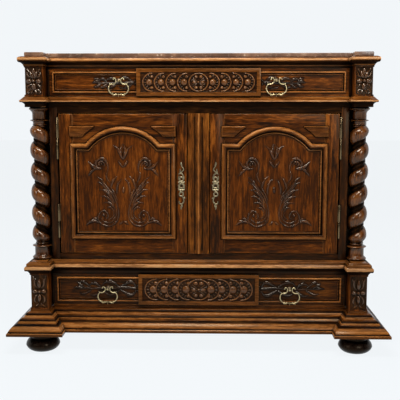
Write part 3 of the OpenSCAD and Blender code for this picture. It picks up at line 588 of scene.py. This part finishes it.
def sunk(piece, wanted, rim, depth, slope=1.0):
    """Sinks a field inside a rim on the faces whose normal is wanted"""
    begin(piece)
    bpy.ops.mesh.select_all(action="DESELECT")
    edited = bmesh.from_edit_mesh(piece.data)
    for face in edited.faces:
        face.select_set(wanted(face.normal))
    bmesh.update_edit_mesh(piece.data)
    bpy.ops.mesh.inset(thickness=rim, depth=0)
    bpy.ops.mesh.inset(thickness=slope, depth=-depth)
    end()


def petal(at, length, width, height, turn=0, point=0):
    """A carved petal or boss: an oval in relief, narrowed towards its outer end, lying on y"""
    clear()
    bpy.ops.mesh.primitive_uv_sphere_add(segments=16, ring_count=8, radius=1)
    piece = bpy.context.object
    for vertex in piece.data.vertices:
        x, y, z = vertex.co
        narrow = 1 - point * max(0.0, x) ** 1.5
        vertex.co = (x * length / 2, z * height * (0.6 + 0.4 * narrow), y * width / 2 * narrow)
    piece.data.transform(Matrix.Translation(at) @ Matrix.Rotation(-turn, 4, "Y"))
    begin(piece)
    return outward(piece)


def strokes(*lines):
    """Carved lines, each given as (x, z) points and the half widths that it runs through"""
    made = []
    for points, *widths in lines:
        line = []
        for i, (x, z) in enumerate(points):
            place = i / (len(points) - 1) * (len(widths) - 1)
            k = min(int(place), len(widths) - 2)
            line.append((x, z, widths[k] + (widths[k + 1] - widths[k]) * (place - k)))
        made.append(line)
    return made


def shifted(lines, x, z, hand=1, wider=1):
    return [[(x + hand * u, z + v, wider * w) for u, v, w in line] for line in lines]


def both_ways(lines, middle=0):
    return lines + shifted(lines, 2 * middle, 0, -1)


def carved(lines, face, lift, facets=2, steps=5):
    """Strokes in relief: smooth paths through their points, rounded, closed at the ends and then
    pressed to their depth about the face they stand on"""
    clear()
    bpy.ops.curve.primitive_nurbs_path_add(radius=1)
    path = bpy.context.object
    path.data.splines.clear()
    for line in lines:
        ends = [line[0]] + list(line) + [line[-1]]
        points = []
        for a, b, c, d in zip(ends, ends[1:], ends[2:], ends[3:]):
            for t in (i / steps for i in range(steps)):
                points.append([0.5 * (2 * q + (r - p) * t + (2 * p - 5 * q + 4 * r - s) * t * t
                                      + (3 * q - p - 3 * r + s) * t ** 3)
                               for p, q, r, s in zip(a, b, c, d)])
        points.append(line[-1])
        spline = path.data.splines.new("POLY")
        spline.points.add(len(points) - 1)
        for spot, (x, z, wide) in zip(spline.points, points):
            spot.co, spot.radius = (x, 0, z, 1), max(wide, 0.3)
    path.data.dimensions = "3D"
    path.data.bevel_depth, path.data.bevel_resolution = 1, facets
    path.data.use_fill_caps = True
    bpy.ops.object.convert(target="MESH")
    piece = bpy.context.object
    piece.data.transform(Matrix.Translation((0, face, 0)) @ Matrix.Scale(lift, 4, (0, 1, 0)))
    return piece


for name, base, high, petals, lines in (
        ("upper", 943, 109,
         ((0, 0, 13, 13, 11, 0, 0), (16, -1, 22, 19, 9, 0, 0.3),
          (7, 20, 30, 14, 8, up - 0.35, 0.45), (0, 31, 28, 14, 7, up, 0.5),
          (0, -19, 28, 18, 9, -up, 0.4)),
         strokes(([(8, 12), (19, 17), (23, 30)], 1.5, 3.6, 1),
                 ([(14, 28), (20, 38), (24, 41)], 1.2, 3, 0.8),
                 ([(6, -10), (17, -14), (23, -24)], 1.5, 3.6, 1),
                 ([(3, -26), (15, -29), (22, -37), (16, -40)], 1.2, 3.6, 2),
                 ([(2, -28), (8, -36), (8, -43)], 1.2, 3.6, 1))),
        ("lower", 158, 136,
         ((0, 0, 13, 13, 11, 0, 0), (15, 0, 20, 17, 9, 0, 0.3), (0, 27, 38, 15, 10, up, 0.55),
          (0, -25, 34, 14, 10, -up, 0.55)),
         strokes(([(5, 12), (14, 20), (17, 36), (12, 46)], 1.5, 4, 1),
                 ([(12, 34), (20, 44), (21, 54)], 1.2, 3, 0.8),
                 ([(5, -10), (15, -18), (18, -32), (12, -42)], 1.5, 4, 1),
                 ([(3, -42), (12, -50), (20, -54)], 1.2, 3.2, 1)))):
    block = squared((block_in, block_front, base), (block_out, block_back, base + high),
                    walnut("z"))
    sunk(block, lambda way: way.y < -0.9 or way.x > 0.9, 5.5, 3)
    touched(eased_edges(block, 0.8), ground_walnut("z"), lambda at, way:
            abs(at.x - block_mid) < field_reach and abs(at.y - field_y) < 0.4)
    centre = Vector((block_mid, field_y, base + high / 2))
    flower = [petal(centre + Vector((s * u, 0, v)), length, width, height,
                    turn if s > 0 else math.pi - turn, point)
              for u, v, length, width, height, turn, point in petals
              for s in ((1, -1) if u else (1,))]
    flower.append(carved(both_ways(shifted(lines, block_mid, centre.z), block_mid), field_y, 1.2))
    flower = eased_edges(painted(joined(flower), glossy_walnut("z")), 0)
    flower.data.transform(Matrix.Translation(centre) @ Matrix.Diagonal((1.06, 1, 1.08, 1))
                          @ Matrix.Translation(-centre))
    for hand, block, flower in (("left", mirrored(block), mirrored(flower)),
                                ("right", block, flower)):
        placed(block, f"{name}_{hand}_block_fielded", f"{name}_{hand}_block")
        placed(flower, f"{name}_{hand}_block_flower")

# Columns: turned walnut carved with one rope that climbs the shaft, left-handed on one side and
# right-handed on the other. A thin bead runs in the bottom of the groove between the turns.
axis_y, column_foot, column_head = 16, 338, 905
twist_low, twist_h, lead, groove_rise = 402, 439, 78.6, 295.5
rope_r, core_r, rope_share, bead_r, bead_share, fade = 37, 21.5, 0.7, 2.6, 0.12, 26


def rope_radius(turn):
    """The shaft's radius at a share of one turn, counted from the middle of the groove"""
    share = abs(2 * (turn - math.floor(turn)) - 1)
    if share < rope_share:
        return core_r + (rope_r - core_r) * math.sqrt(1 - (share / rope_share) ** 2) ** 0.95
    if share > 1 - bead_share:
        return core_r + bead_r * math.sqrt(1 - ((1 - share) / bead_share) ** 2)
    return core_r


rim = []
for k in range(96):
    turn = k / 96
    radius = rope_radius(turn - 0.5 + (twist_low - column_foot - groove_rise) / lead)
    rim.append((radius * math.cos(2 * math.pi * turn), radius * math.sin(2 * math.pi * turn), 0))
shaft = drawn(rim, "NOTHING")
climb = shaft.modifiers.new("climb", "SCREW")
climb.axis, climb.use_merge_vertices, climb.screw_offset = "Z", False, twist_h
climb.angle = -2 * math.pi * twist_h / lead
climb.steps = climb.render_steps = 190
bpy.ops.object.modifier_apply(modifier="climb")
for vertex in shaft.data.vertices:
    x, y, z = vertex.co
    near = min(z, twist_h - z) / fade
    share = 1 if near >= 1 else math.sin(near * math.pi / 2) ** 0.8
    radius = math.hypot(x, y)
    kept = (core_r + (radius - core_r) * share) / radius
    vertex.co = (x * kept, y * kept, z)
begin(shaft)
outward(shaft)
shaft.data.transform(Matrix.Translation((block_mid, axis_y, twist_low)))


def rounded(low, high, edge, crown, steps=10):
    """Half-round turning between two heights"""
    return [(edge + (crown - edge) * math.sin(math.pi * i / steps), low + (high - low) * i / steps)
            for i in range(steps + 1)]


base_turning = rounded(column_foot, 351, 33, 38) + [(31, 352), (29, 356), (29, 383)] \
    + rounded(385, 394, 30, 37.5, 8) + [(26, 395)] + rounded(396.5, 402, 23.5, 26, 6) + [(22, 404)]
top_turning = [(22, 839)] + rounded(840, 845, 23.5, 26, 6) + [(24, 847)] \
    + rounded(853, 861, 25, 34, 8) + [(26, 862), (26, 882)] \
    + bent((26, 882), (33, 893), -1.6, 8)[1:] + rounded(894, column_head, 33, 38)
column = joined([shaft] + [turned(outline, (block_mid, axis_y), 64)
                           for outline in (base_turning, top_turning)])
painted(column, walnut("z", "turned_walnut", (0.032, 0.0085, 0.0013), (0.094, 0.026, 0.0038),
                       (0.21, 0.074, 0.015), 0.22, 0.55, 0.06, 0.5))
# The floor of the groove takes the dark wood: old wax and dust left in it, and painted shade
touched(column, dust_and_shade("z"), lambda at, way: twist_low + 8 < at.z < twist_low + twist_h - 8
        and math.hypot(at.x - block_mid, at.y - axis_y) < core_r + 3.4)
column.data.transform(Matrix.Translation((2 * block_mid, 0, 0)) @ Matrix.Scale(-1, 4, (1, 0, 0)))
begin(column)
outward(column)
for hand, piece in (("left", mirrored(column)), ("right", column)):
    placed(piece, hand + "_column_carved", hand + "_column", slot="polished_walnut")

# Doors: walnut stiles and rails round an arched panel, held in by a bold half-round moulding with
# a thin inner bead. Small chamfered blocks fill the corners over the arch.
door_mid, field_half, field_low, field_shoulder = 279.75, 197.25, 413.5, 774.5
arch_centre, arch_radius, field_top = 655.5, 182, 837.5
spandrel_r, spandrel_in, spandrel_low = 204, 104, field_top - 42


def arch(radius, low, high, steps=36):
    """Points over the arch from right to left, between two heights reached at its ends"""
    a = math.asin((low - arch_centre) / radius)
    b = math.pi - math.asin((high - arch_centre) / radius)
    return [(door_mid + radius * math.cos(a + (b - a) * i / steps), 0,
             arch_centre + radius * math.sin(a + (b - a) * i / steps)) for i in range(steps + 1)]


def stepped(outline, steps, woods):
    """A moulding worked inwards from its outline: each step goes in, comes forward and takes one
    of the woods"""
    piece = painted(drawn(outline), *woods)
    begin(piece)
    for inwards, forward, tone in steps:
        piece.active_material_index = tone
        bpy.ops.object.material_slot_assign()
        bpy.ops.mesh.inset(thickness=max(inwards, 0.02), depth=forward, use_even_offset=True)
    return piece


def steps_of(profile):
    """Steps between the points of a profile, each point with its height and its wood"""
    return [(b[0] - a[0], b[1] - a[1], b[2]) for a, b in zip(profile, profile[1:])]


def hollowed(piece):
    """Takes the middle out of a stepped moulding and closes its back"""
    bpy.ops.mesh.delete(type="FACE")
    bpy.ops.mesh.select_mode(type="EDGE")
    bpy.ops.mesh.select_all(action="DESELECT")
    bpy.ops.mesh.select_non_manifold()
    bpy.ops.mesh.bridge_edge_loops()
    bpy.ops.mesh.select_all(action="SELECT")
    return outward(piece)


# The roll's steps and their woods: the dark wood in the skirt outside it, in the gap beside the
# bead and at the inner feet is painted shade; the pale woods along the crests of roll and bead are
# painted highlights
roll = [(0, 0, 1), (0, 0.2, 1), (1.6, 0.3, 1), (1.7, 2.8, 0), (2.4, 3.2, 1)] \
    + [(11.9 - 9.5 * math.cos(math.pi * i / 12), 3.2 + 9.8 * math.sin(math.pi * i / 12),
        3 if 3 <= i <= 6 else 2 if 2 <= i <= 7 else 0 if i <= 9 else 1) for i in range(1, 13)] \
    + [(21.7, -1.4, 1), (23.2, -2.0, 1)] \
    + [(26.4 - 3.2 * math.cos(math.pi * i / 6), -2.0 + 3.6 * math.sin(math.pi * i / 6),
        3 if 2 <= i <= 4 else 0) for i in range(1, 6)] \
    + [(29.8, -2.4, 1), (31.2, -3.4, 1), (33.8, -3.8, 0)]
woods = [wood("x") for wood in (polished_walnut, dust_and_shade, waxed_and_highlit, burnished_and_highlit)] \
    + [wood("z") for wood in (polished_walnut, dust_and_shade, waxed_and_highlit, waxed_and_highlit)]
left_x, right_x = door_mid - field_half, door_mid + field_half
outline = [(left_x, 0, field_low), (right_x, 0, field_low), (right_x, 0, field_shoulder)] \
    + arch(arch_radius, field_shoulder, field_shoulder) + [(left_x, 0, field_shoulder)]
pieces = [hollowed(stepped(outline, steps_of(roll), woods))]
for face in pieces[0].data.polygons:
    face.material_index += 4 * int(abs(face.center.x - door_mid) > 175)
curve = [p for p in arch(spandrel_r, spandrel_low, field_top, 40)
         if p[0] > door_mid + spandrel_in + 1]
spandrel = [(right_x, 0, spandrel_low), (right_x, 0, field_top),
            (door_mid + spandrel_in, 0, field_top),
            (door_mid + spandrel_in, 0,
             arch_centre + math.sqrt(spandrel_r ** 2 - spandrel_in ** 2))] + curve[::-1]
for s in (1, -1):
    points = [(door_mid + s * (x - door_mid), y, z) for x, y, z in spandrel][::s]
    # Each spandrel block's skirt takes the dark wood as painted shade, and its chamfer the pale
    # waxed wood as painted highlight
    pieces.append(stepped(points, [(0, 0.2, 1), (1.4, 0.1, 1), (0, 5.6, 1), (3.4, 3.2, 2),
                                   (0.4, 0.1, 0)], woods[:3]))
    end()
right_roll = joined(pieces)
# The panel wood carries painted shade a long way in from the moulding and the carving
panel_walnut = walnut("z", "panel_walnut", (0.033, 0.0076, 0.0009), (0.080, 0.0183, 0.0016),
                      (0.21, 0.056, 0.006), deep=0.06)
for door, piece in (("left_door", mirrored(right_roll)), ("right_door", right_roll)):
    copied(door + "_frame", walnut, 0.002, body=door, segments=3)
    copied(door + "_panel", panel_walnut, 0, body=door)
    placed(piece, door + "_roll", door + "_moulding", body=door, slot="polished_walnut", angle=50)

# Carving of the door panels, cut in the solid: a tulip at the top, scrolls beside it, and a fan of
# long leaves that rises from two spirals. One half is drawn from the middle and mirrored.
half = strokes(
    ([(37, 766), (20, 755), (14, 745), (9, 735), (4, 722), (0.5, 714)], 0.8, 4.2, 2.2),
    ([(0.5, 771), (7, 761), (9, 748), (5.5, 734), (1, 722)], 0.8, 3.6, 1.5),
    ([(16, 708), (8, 695), (1, 684)], 2.6, 2.8, 1.2),
    ([(57, 672), (57, 690), (63, 707), (75, 717), (90, 715), (101, 704), (99, 690), (88, 681)],
     1, 3.2, 3, 1.6),
    ([(68, 688), (72, 701), (84, 705), (91, 697), (86, 690)], 1.2, 2.4, 2),
    ([(98, 680), (112, 675), (122, 664), (130, 652)], 1.5, 3.8, 0.8),
    ([(78, 681), (96, 679), (108, 684), (114, 694)], 1.5, 3.2, 0.8),
    ([(131, 707), (122, 698), (112, 688), (98, 682), (82, 679)], 0.8, 4, 2),
    ([(57, 674), (62, 660), (60, 644), (50, 626)], 1, 3, 1),
    ([(98, 649), (85, 641), (75, 629), (60, 607), (45, 590), (35, 575), (26, 552), (22, 538)],
     0.8, 3.4, 2.2, 1.4),
    ([(97, 630), (82, 623), (67, 607), (54, 590), (42, 571), (33, 550)], 0.8, 3.2, 1),
    ([(90, 600), (75, 600), (60, 589), (47, 572), (36, 550)], 0.8, 3.2, 1),
    ([(85, 576), (69, 576), (54, 567), (43, 554), (35, 540)], 0.8, 3.2, 1),
    ([(75, 551), (60, 554), (48, 549), (38, 538), (31, 526)], 0.8, 3.2, 1),
    ([(62, 533), (51, 535), (43, 530), (36, 519)], 0.8, 2.8, 1),
    ([(48, 613), (41, 600), (31, 583), (23, 560)], 0.8, 2.8, 1),
    ([(22, 650), (34, 641), (42, 625), (46, 606)], 0.8, 3.2, 1.2),
    ([(6, 640), (18, 628), (24, 608), (24, 584)], 0.8, 3, 1.2),
    ([(22, 538), (19, 520), (20, 502), (25, 485), (35, 473), (48, 466), (65, 464), (80, 470),
      (92, 482), (96, 498), (90, 513), (78, 522), (66, 518), (59, 508), (59, 498), (66, 492)],
     1.4, 2.2, 2.2, 2, 1.8),
    ([(28, 530), (28, 508), (34, 492), (45, 481), (59, 477), (73, 480), (83, 490), (85, 501)],
     0.8, 2, 2, 0.8),
    ([(38, 522), (37, 508), (43, 496), (54, 489)], 0.8, 1.8, 0.8),
    ([(92, 476), (108, 483), (125, 481), (135, 473), (142, 466)], 2, 4, 0.8),
    ([(98, 486), (106, 492), (118, 494)], 1.2, 3, 0.8),
    ([(3, 484), (9, 477), (18, 470)], 1.2, 2.6, 0.8))
half_bosses = ((75, 506, 13), (80, 697, 9))
tooled_walnut = walnut("z", "tooled_walnut", (0.016, 0.0042, 0.0007), (0.050, 0.0130, 0.0017),
                       (0.16, 0.052, 0.009), 0.17, 0.42, 0.014, 0.12)
for side, hand in ((1, "right"), (-1, "left")):
    middle = side * door_mid
    relief = [carved(both_ways(shifted(half, middle, 0, wider=1.8), middle), 4.3, 0.95)]
    relief += [petal((middle + s * x, 4, z), wide, wide, 5.5)
               for x, z, wide in half_bosses for s in (1, -1)]
    relief.append(petal((middle, 4, 600), 27, 11, 5, -up, 0.5))
    placed(painted(joined(relief), tooled_walnut), hand + "_door_carving", body=hand + "_door",
           slot="polished_walnut", angle=75)

# Drawers: plain boxes behind walnut fronts. Each front has a tablet with carved coins on its
# middle, and a double bead mitred round the plain field at each side of it.
# The bead's steps and their woods: the dark wood in the groove between the beads and at their feet
# is painted shade, the pale woods on the outer bead's crest a painted highlight
bead = [(0, 0, 0), (0, 2.8, 0)] \
    + [(3.4 - 3.4 * math.cos(math.pi * i / 8), 2.8 + 4.2 * math.sin(math.pi * i / 8),
        3 if 2 <= i <= 5 else 2) for i in range(1, 8)] \
    + [(6.9, 2.4, 1), (7, 0.4, 1), (10, 0.3, 1)] \
    + [(12 - 1.9 * math.cos(math.pi * i / 6), 0.7 + 2.2 * math.sin(math.pi * i / 6), 0)
       for i in range(1, 6)] + [(13.9, 0.6, 1), (14, 0, 1)]
leaves = {
    "upper": (strokes(
        ([(238, 994), (300, 992), (350, 992), (388, 994)], 3, 2.6, 1),
        ([(242, 997), (258, 1010), (278, 1012), (292, 1005)], 1.5, 4, 0.8),
        ([(296, 997), (312, 1008), (328, 1008), (338, 1001)], 1.5, 4.2, 0.8),
        ([(334, 996), (346, 1006), (358, 1007), (366, 1002)], 1.5, 3.8, 0.8),
        ([(360, 996), (370, 1006), (384, 1012)], 1.5, 4, 0.8),
        ([(362, 994), (374, 998), (389, 992)], 1.5, 4.2, 1),
        ([(242, 989), (258, 978), (278, 974), (292, 980)], 1.5, 4, 0.8),
        ([(298, 989), (314, 980), (330, 977), (340, 981)], 1.5, 4, 0.8),
        ([(334, 989), (348, 979), (362, 977)], 1.5, 3.6, 0.8),
        ([(358, 989), (370, 981), (385, 978)], 1.5, 3.8, 0.8)),
              [(232, 1001), (232, 988)]),
    "lower": (strokes(
        ([(236, 226), (290, 230), (340, 226), (400, 226), (472, 229)], 3, 2.8, 1),
        ([(236, 232), (246, 249), (262, 251), (280, 241), (298, 232)], 1.5, 4.4, 1),
        ([(298, 232), (316, 246), (335, 253), (352, 250), (364, 238)], 1.5, 4.6, 0.8),
        ([(370, 231), (384, 244), (400, 246), (413, 237)], 1.5, 4.2, 0.8),
        ([(408, 231), (424, 245), (440, 253), (450, 246)], 1.5, 4, 0.8),
        ([(430, 230), (446, 240), (460, 250)], 1.5, 3.6, 0.8),
        ([(436, 226), (454, 230), (474, 227)], 1.5, 4, 0.8),
        ([(236, 220), (246, 204), (262, 201), (280, 211), (296, 221)], 1.5, 4.2, 1),
        ([(298, 221), (318, 206), (338, 202), (356, 208)], 1.5, 4.2, 0.8),
        ([(364, 221), (380, 207), (398, 200), (414, 203)], 1.5, 4.4, 0.8),
        ([(404, 221), (424, 210), (440, 206), (452, 210)], 1.5, 3.8, 0.8)),
              [(231, 236), (231, 218)])}
# The lower front is painted darker than the upper: painted shade under the sill
fronts = {"upper": walnut("x", "drawer_walnut", deep=0.016),
          "lower": walnut("x", "deep_walnut", (0.008, 0.0022, 0.0005), (0.040, 0.0098, 0.0011),
                          (0.14, 0.041, 0.005))}
tablet_walnut = walnut("x", "tablet_walnut", (0.042, 0.0120, 0.0018), (0.092, 0.0265, 0.0038),
                       (0.23, 0.079, 0.014), 0.28, 0.2, 0.012, 0.4)
carved_walnut = walnut("x", "carved_walnut", (0.040, 0.0115, 0.0022), (0.090, 0.0275, 0.0050),
                       (0.21, 0.078, 0.018), 0.19, 0.5, 0.02, 0.4)
# The low leaves of the fields, painted near black as the shade among deep-cut leaves
shade_darkened = walnut("x", "blackened_walnut", (0.006, 0.0020, 0.0008), (0.015, 0.0052, 0.0018),
                   (0.08, 0.033, 0.013), 0.13, 0.38, 0.02, 0.1)
front_half, tablet_half, tablet_rim, bead_in, bead_out, bead_edge = 546, 226, 14, 212, 534.5, 11.5


def arc(x, z, radius, wide, degrees, stretch=1):
    """Points of one width round a centre, at the angles given"""
    return [(x + stretch * radius * math.cos(a), z + radius * math.sin(a), wide)
            for a in map(math.radians, degrees)]


def spokes(x, z, radius, marks, degrees):
    """Strokes that point away from a centre, each through (share of radius, half width) marks"""
    return [[(x + radius * reach * math.cos(a), z + radius * reach * math.sin(a), wide)
             for reach, wide in marks] for a in map(math.radians, degrees)]


for level, low, high, middle, rise, first, pitch in (
        ("upper", 945, 1045, 994.6, 32, 43.5, 42.4),
        ("lower", 164.5, 282, 223.5, 39.5, 38.5, 41.2)):
    body = level + "_drawer"
    pieces = [squared((-front_half, 0, low), (front_half, 22, high), fronts[level])]
    for x0, x1 in ((bead_in, bead_out), (-bead_out, -bead_in)):
        z0, z1 = low + bead_edge, high - bead_edge
        pieces.append(hollowed(stepped([(x0, 0, z0), (x1, 0, z0), (x1, 0, z1), (x0, 0, z1)],
                                       steps_of(bead), woods[:4])))
    placed(joined(pieces), body + "_front_beaded", body + "_front", body=body, angle=50)
    copied(body + "_box", inner, body=body)
    tablet = squared((-tablet_half, -10, low), (tablet_half, 0, high), tablet_walnut)
    sunk(tablet, lambda way: way.y < -0.9, tablet_rim, 5, 1.5)
    touched(eased_edges(tablet, 0.7), shaded("x"), lambda at, way:
            -7 < at.y < -4.9 and abs(at.x) < tablet_half - tablet_rim + 1)
    placed(tablet, level + "_tablet", level + "_carved_panel", body=body, slot="polished_walnut")
    rings, coins, bosses = [], [], []
    for k in range(4):
        at = first + pitch * k
        rings.append(arc(at, middle, rise, 3.1, range(-96, 97, 8)))
        coins += spokes(at, middle, rise, ((0.60, 0.9), (0.74, 2.5), (0.88, 1.6)),
                        range(-66, 67, 22))
        bosses.append((at + 8.5, middle, 0.74 * rise, 0.80 * rise, 8.5))
        bosses += [(at - 0.5, middle + s * 0.62 * rise, 0.43 * rise, 0.40 * rise, 7)
                   for s in (1, -1)]
    bosses += [(-x, *others) for x, *others in bosses]
    bosses.append((0, middle, 0.32 * rise, 0.32 * rise, 9))
    bosses += [(s * rise * 0.27, middle + t * rise * 0.60, 0.46 * rise, 0.42 * rise, 7)
               for s in (1, -1) for t in (1, -1)]
    bosses += [(s * rise * 0.46, middle, 0.50 * rise, 0.34 * rise, 6) for s in (1, -1)]
    rings = both_ways(rings) + [arc(0, middle, rise, 3.1, range(0, 361, 8), 1.08)]
    coins = both_ways(coins) + spokes(0, middle, rise, ((0.16, 0.9), (0.44, 2.8), (0.80, 1.6)),
                                      (20, 40, 140, 160, 200, 220, 320, 340))
    bosses = [petal((x, -5, z), *size) for x, z, *size in bosses]
    rings = joined([carved(rings, -5.4, 1.15, steps=2)] + bosses)
    relief = [painted(carved(coins, -5.4, 1.5, steps=2), glossy_walnut("x")),
              painted(rings, carved_walnut)]
    placed(joined(relief), level + "_coins", body=body, slot="polished_walnut", angle=75)
    leaf, knobs = leaves[level]
    relief = [carved(both_ways(shifted(leaf, 0, 0, wider=1.85)), 0.3, 0.85)]
    relief += [petal((s * x, 0, z), 8, 8, 5) for x, z in knobs for s in (1, -1)]
    placed(painted(joined(relief), shade_darkened), body + "_leaves", body=body,
           slot="polished_walnut", angle=75)

# Marble top: one slab that follows the fronts of the blocks, red-brown with pale flecks and
# thin veins, its edge rubbed round.
marble = Finish(bpy.data.materials.new("marble"))
slab = marble.node("TexCoord", out="Object")
patches = marble.noise(slab, 9.0, 6.0, 0.65, 1.2)
veins = marble.noise(slab, 4.0, 8.0, distortion=2.5)
flecks = marble.node("TexVoronoi", {"feature": "F1"}, {"Vector": slab, "Scale": 55.0},
                     out="Distance")
ground = marble.ramp(patches, (0.30, (0.055, 0.026, 0.014)), (0.5, (0.15, 0.072, 0.038)),
                     (0.62, (0.25, 0.13, 0.07)), (0.78, (0.42, 0.27, 0.17)))
vein = marble.ramp(veins, (0.488, (0, 0, 0)), (0.5, (1, 1, 1)), (0.512, (0, 0, 0)))
spots = marble.ramp(flecks, (0.10, (1, 1, 1)), (0.24, (0, 0, 0)))
colour = marble.mixed(vein * 0.25, ground, (0.55, 0.42, 0.30))
colour = marble.mixed(spots * (patches > 0.5) * 0.8, colour, (0.62, 0.47, 0.33))
marble.surface(colour, 0.24 + patches * 0.12, (0.1, 0.0004, patches))
copied("marble_top", marble.owner, 0.004, segments=4)

# Hinges and locks, and the metals of the pulls: brass dulled brown in the hollows, and iron. The
# pulls and bolts are of brass, and the lock cases of iron.


def metal(name, bright, dull, rough):
    known = bpy.data.materials.get(name)
    if known:
        return known
    finish = Finish(bpy.data.materials.new(name))
    place = finish.node("TexCoord", out="Object")
    cloudy = finish.noise(place, 120.0, 5.0)
    worn = finish.ramp(finish.hollows(0.006) * 0.8 + cloudy * 0.3,
                       (0.35, (0, 0, 0)), (0.85, (1, 1, 1)))
    return finish.surface(finish.mixed(worn, dull, bright), rough + cloudy * 0.25 - worn * 0.12,
                          (0.2, 0.0003, finish.noise(place, 900.0, 2.0)), {"Metallic": 1.0})


brass = metal("brass", (0.70, 0.515, 0.37), (0.05, 0.030, 0.016), 0.28)
dulled = metal("dulled_brass", (0.17, 0.125, 0.075), (0.03, 0.020, 0.010), 0.4)
iron = metal("iron", (0.30, 0.28, 0.26), (0.06, 0.045, 0.035), 0.5)
hinge_brass = metal("hinge_brass", (0.19, 0.135, 0.07), (0.02, 0.014, 0.006), 0.24)
copied("hinge_pins", hinge_brass, 0.0002)
for hand in ("left", "right"):
    door = hand + "_door"
    copied(door + "_hinges", hinge_brass, 0.0002, body=door)
    copied(hand + "_lock_case", iron, 0.0004, body=door)
    copied(hand + "_lock_bolt", brass, 0.0004, body=hand + "_bolt")

# Escutcheons: pierced brass plates of scrolls and leaves, each with its keyhole; the two mirror
# each other.
plate_x, plate_z = 63.5, 616
tarnished = metal("tarnished_brass", (0.25, 0.20, 0.115), (0.025, 0.018, 0.008), 0.36)
pierced = strokes(
    ([(0, 88.5), (-1, 83), (1, 77), (1, 70)], 0.6, 3.4, 3.0, 1.2),
    ([(1, 73), (6, 66), (8, 61), (6, 55)], 1, 2.4, 1.4),
    ([(-5, 64), (-4, 57), (-5, 51), (-1, 46), (4, 43), (7, 37)], 1, 2.4, 2.6, 1.8),
    ([(6, 57), (0, 51), (-6, 46), (-11, 42)], 1.4, 2.6, 0.8),
    ([(7, 39), (9.5, 31), (8, 21)], 1.6, 2.4, 1.4),
    ([(-9, 38), (-10.5, 30), (-8, 20)], 0.8, 2.2, 1.4),
    ([(-13, 16), (-8, 12), (0, 14), (8, 12), (13, 16)], 1, 3.2, 3.2, 3.2, 1),
    ([(-13.5, 4), (-10, -3), (-12.5, -11)], 1, 2.6, 1),
    ([(13.5, 4), (10, -3), (12.5, -11)], 1, 2.6, 1),
    ([(-11.5, -14), (0, -17), (11.5, -14)], 2.2, 4.2, 2.2),
    ([(5, -39), (9.5, -46), (14, -44.5)], 1.4, 2.8, 1.8),
    ([(4, -39), (8, -49), (8.5, -57), (4, -65), (-3, -68), (-7.5, -64), (-8, -57)],
     1.6, 2.5, 2.8, 2.4, 1.6),
    ([(0, -68), (2.5, -75), (-1.5, -82), (0, -89)], 1.6, 2.4, 2.6, 0.6),
    ([(-5, -80), (-1, -76), (3, -78)], 0.8, 1.8, 0.8))
pierced += [arc(*ring, range(0, 361, 20))
            for ring in ((0, 25, 7.0, 2.7), (-0.6, -31, 7.4, 2.7), (0, 0, 8.6, 3.6))]
for side, hand in ((-1, "left"), (1, "right")):
    plate = carved(shifted(pierced, side * plate_x, plate_z, -side), -0.9, 0.4)
    placed(painted(plate, tarnished), hand + "_escutcheon_pierced", hand + "_escutcheon",
           body=hand + "_door", slot="brass", angle=75)

# Pulls: a cast bail on each turned post, its arms curled at the ends, knops in the middle of its
# foot.
bail_y = -15
bail_arm = strokes(
    ([(18.8, 3.5), (19, 7), (15.5, 9.8), (11, 8), (8.6, 2), (10, -5), (15, -10.5),
      (22.5, -12.6), (29, -11.8), (33.5, -8)], 2.6, 1.5, 1.6, 1.9, 2.3, 0.7),
    ([(27.5, -12), (33, -16.5), (36.2, -25), (35.5, -33.5), (31.5, -41), (24.5, -47),
      (19, -49)], 1.6, 2.0, 2.2, 1.6),
    ([(21, -43), (20, -48), (15, -52), (8, -49), (0, -50)], 0.8, 1.8, 0.8, 0.8),
    ([(17, -54), (12, -49), (10, -45)], 0.7, 2.0, 0.8))
knops = ((0, -49.5, 5, 8.5, 0), (0, -56, 3, 4.5, 0), (6.5, -49.5, 2.6, 6.5, 0),
         (14.5, -50.5, 7.5, 7, 0.4), (20, -52.5, 3.2, 4, 0))
post_outline = [(9, 0), (9, 0.8), (7.6, 1.6), (7.9, 2.2), (5.5, 2.9), (4, 4), (3.7, 11),
                (4.4, 12), (3.2, 13)] + rounded(13, 19.8, 2.4, 4, 10)
for level, centres, lift in (("upper", (-290.5, 282.5), 1000), ("lower", (-342, 342), 225.75)):
    posts = []
    for x in centres:
        post = painted(turned(post_outline, (0, 0), 32), brass)
        post.data.transform(Matrix.Translation((x, 0, lift)) @ Matrix.Rotation(up, 4, "X"))
        posts.append(touched(post, dulled, lambda at, way: at.y > bail_y + 1.5))
    placed(joined(posts), level + "_pull_posts_turned", level + "_pull_posts",
           body=level + "_drawer", slot="brass")
    for x, hand in zip(centres, ("left", "right")):
        cast = [carved(both_ways(shifted(bail_arm, x, lift), x), bail_y, 1.0, 3)]
        cast += [petal((x + s * u, bail_y, lift + v), long, wide, wide / 2, turn * s)
                 for u, v, long, wide, turn in knops for s in (1, -1)]
        placed(painted(joined(cast), brass), f"{level}_{hand}_bail_cast",
               f"{level}_{hand}_bail", body=f"{level}_{hand}_handle", slot="brass", angle=75)
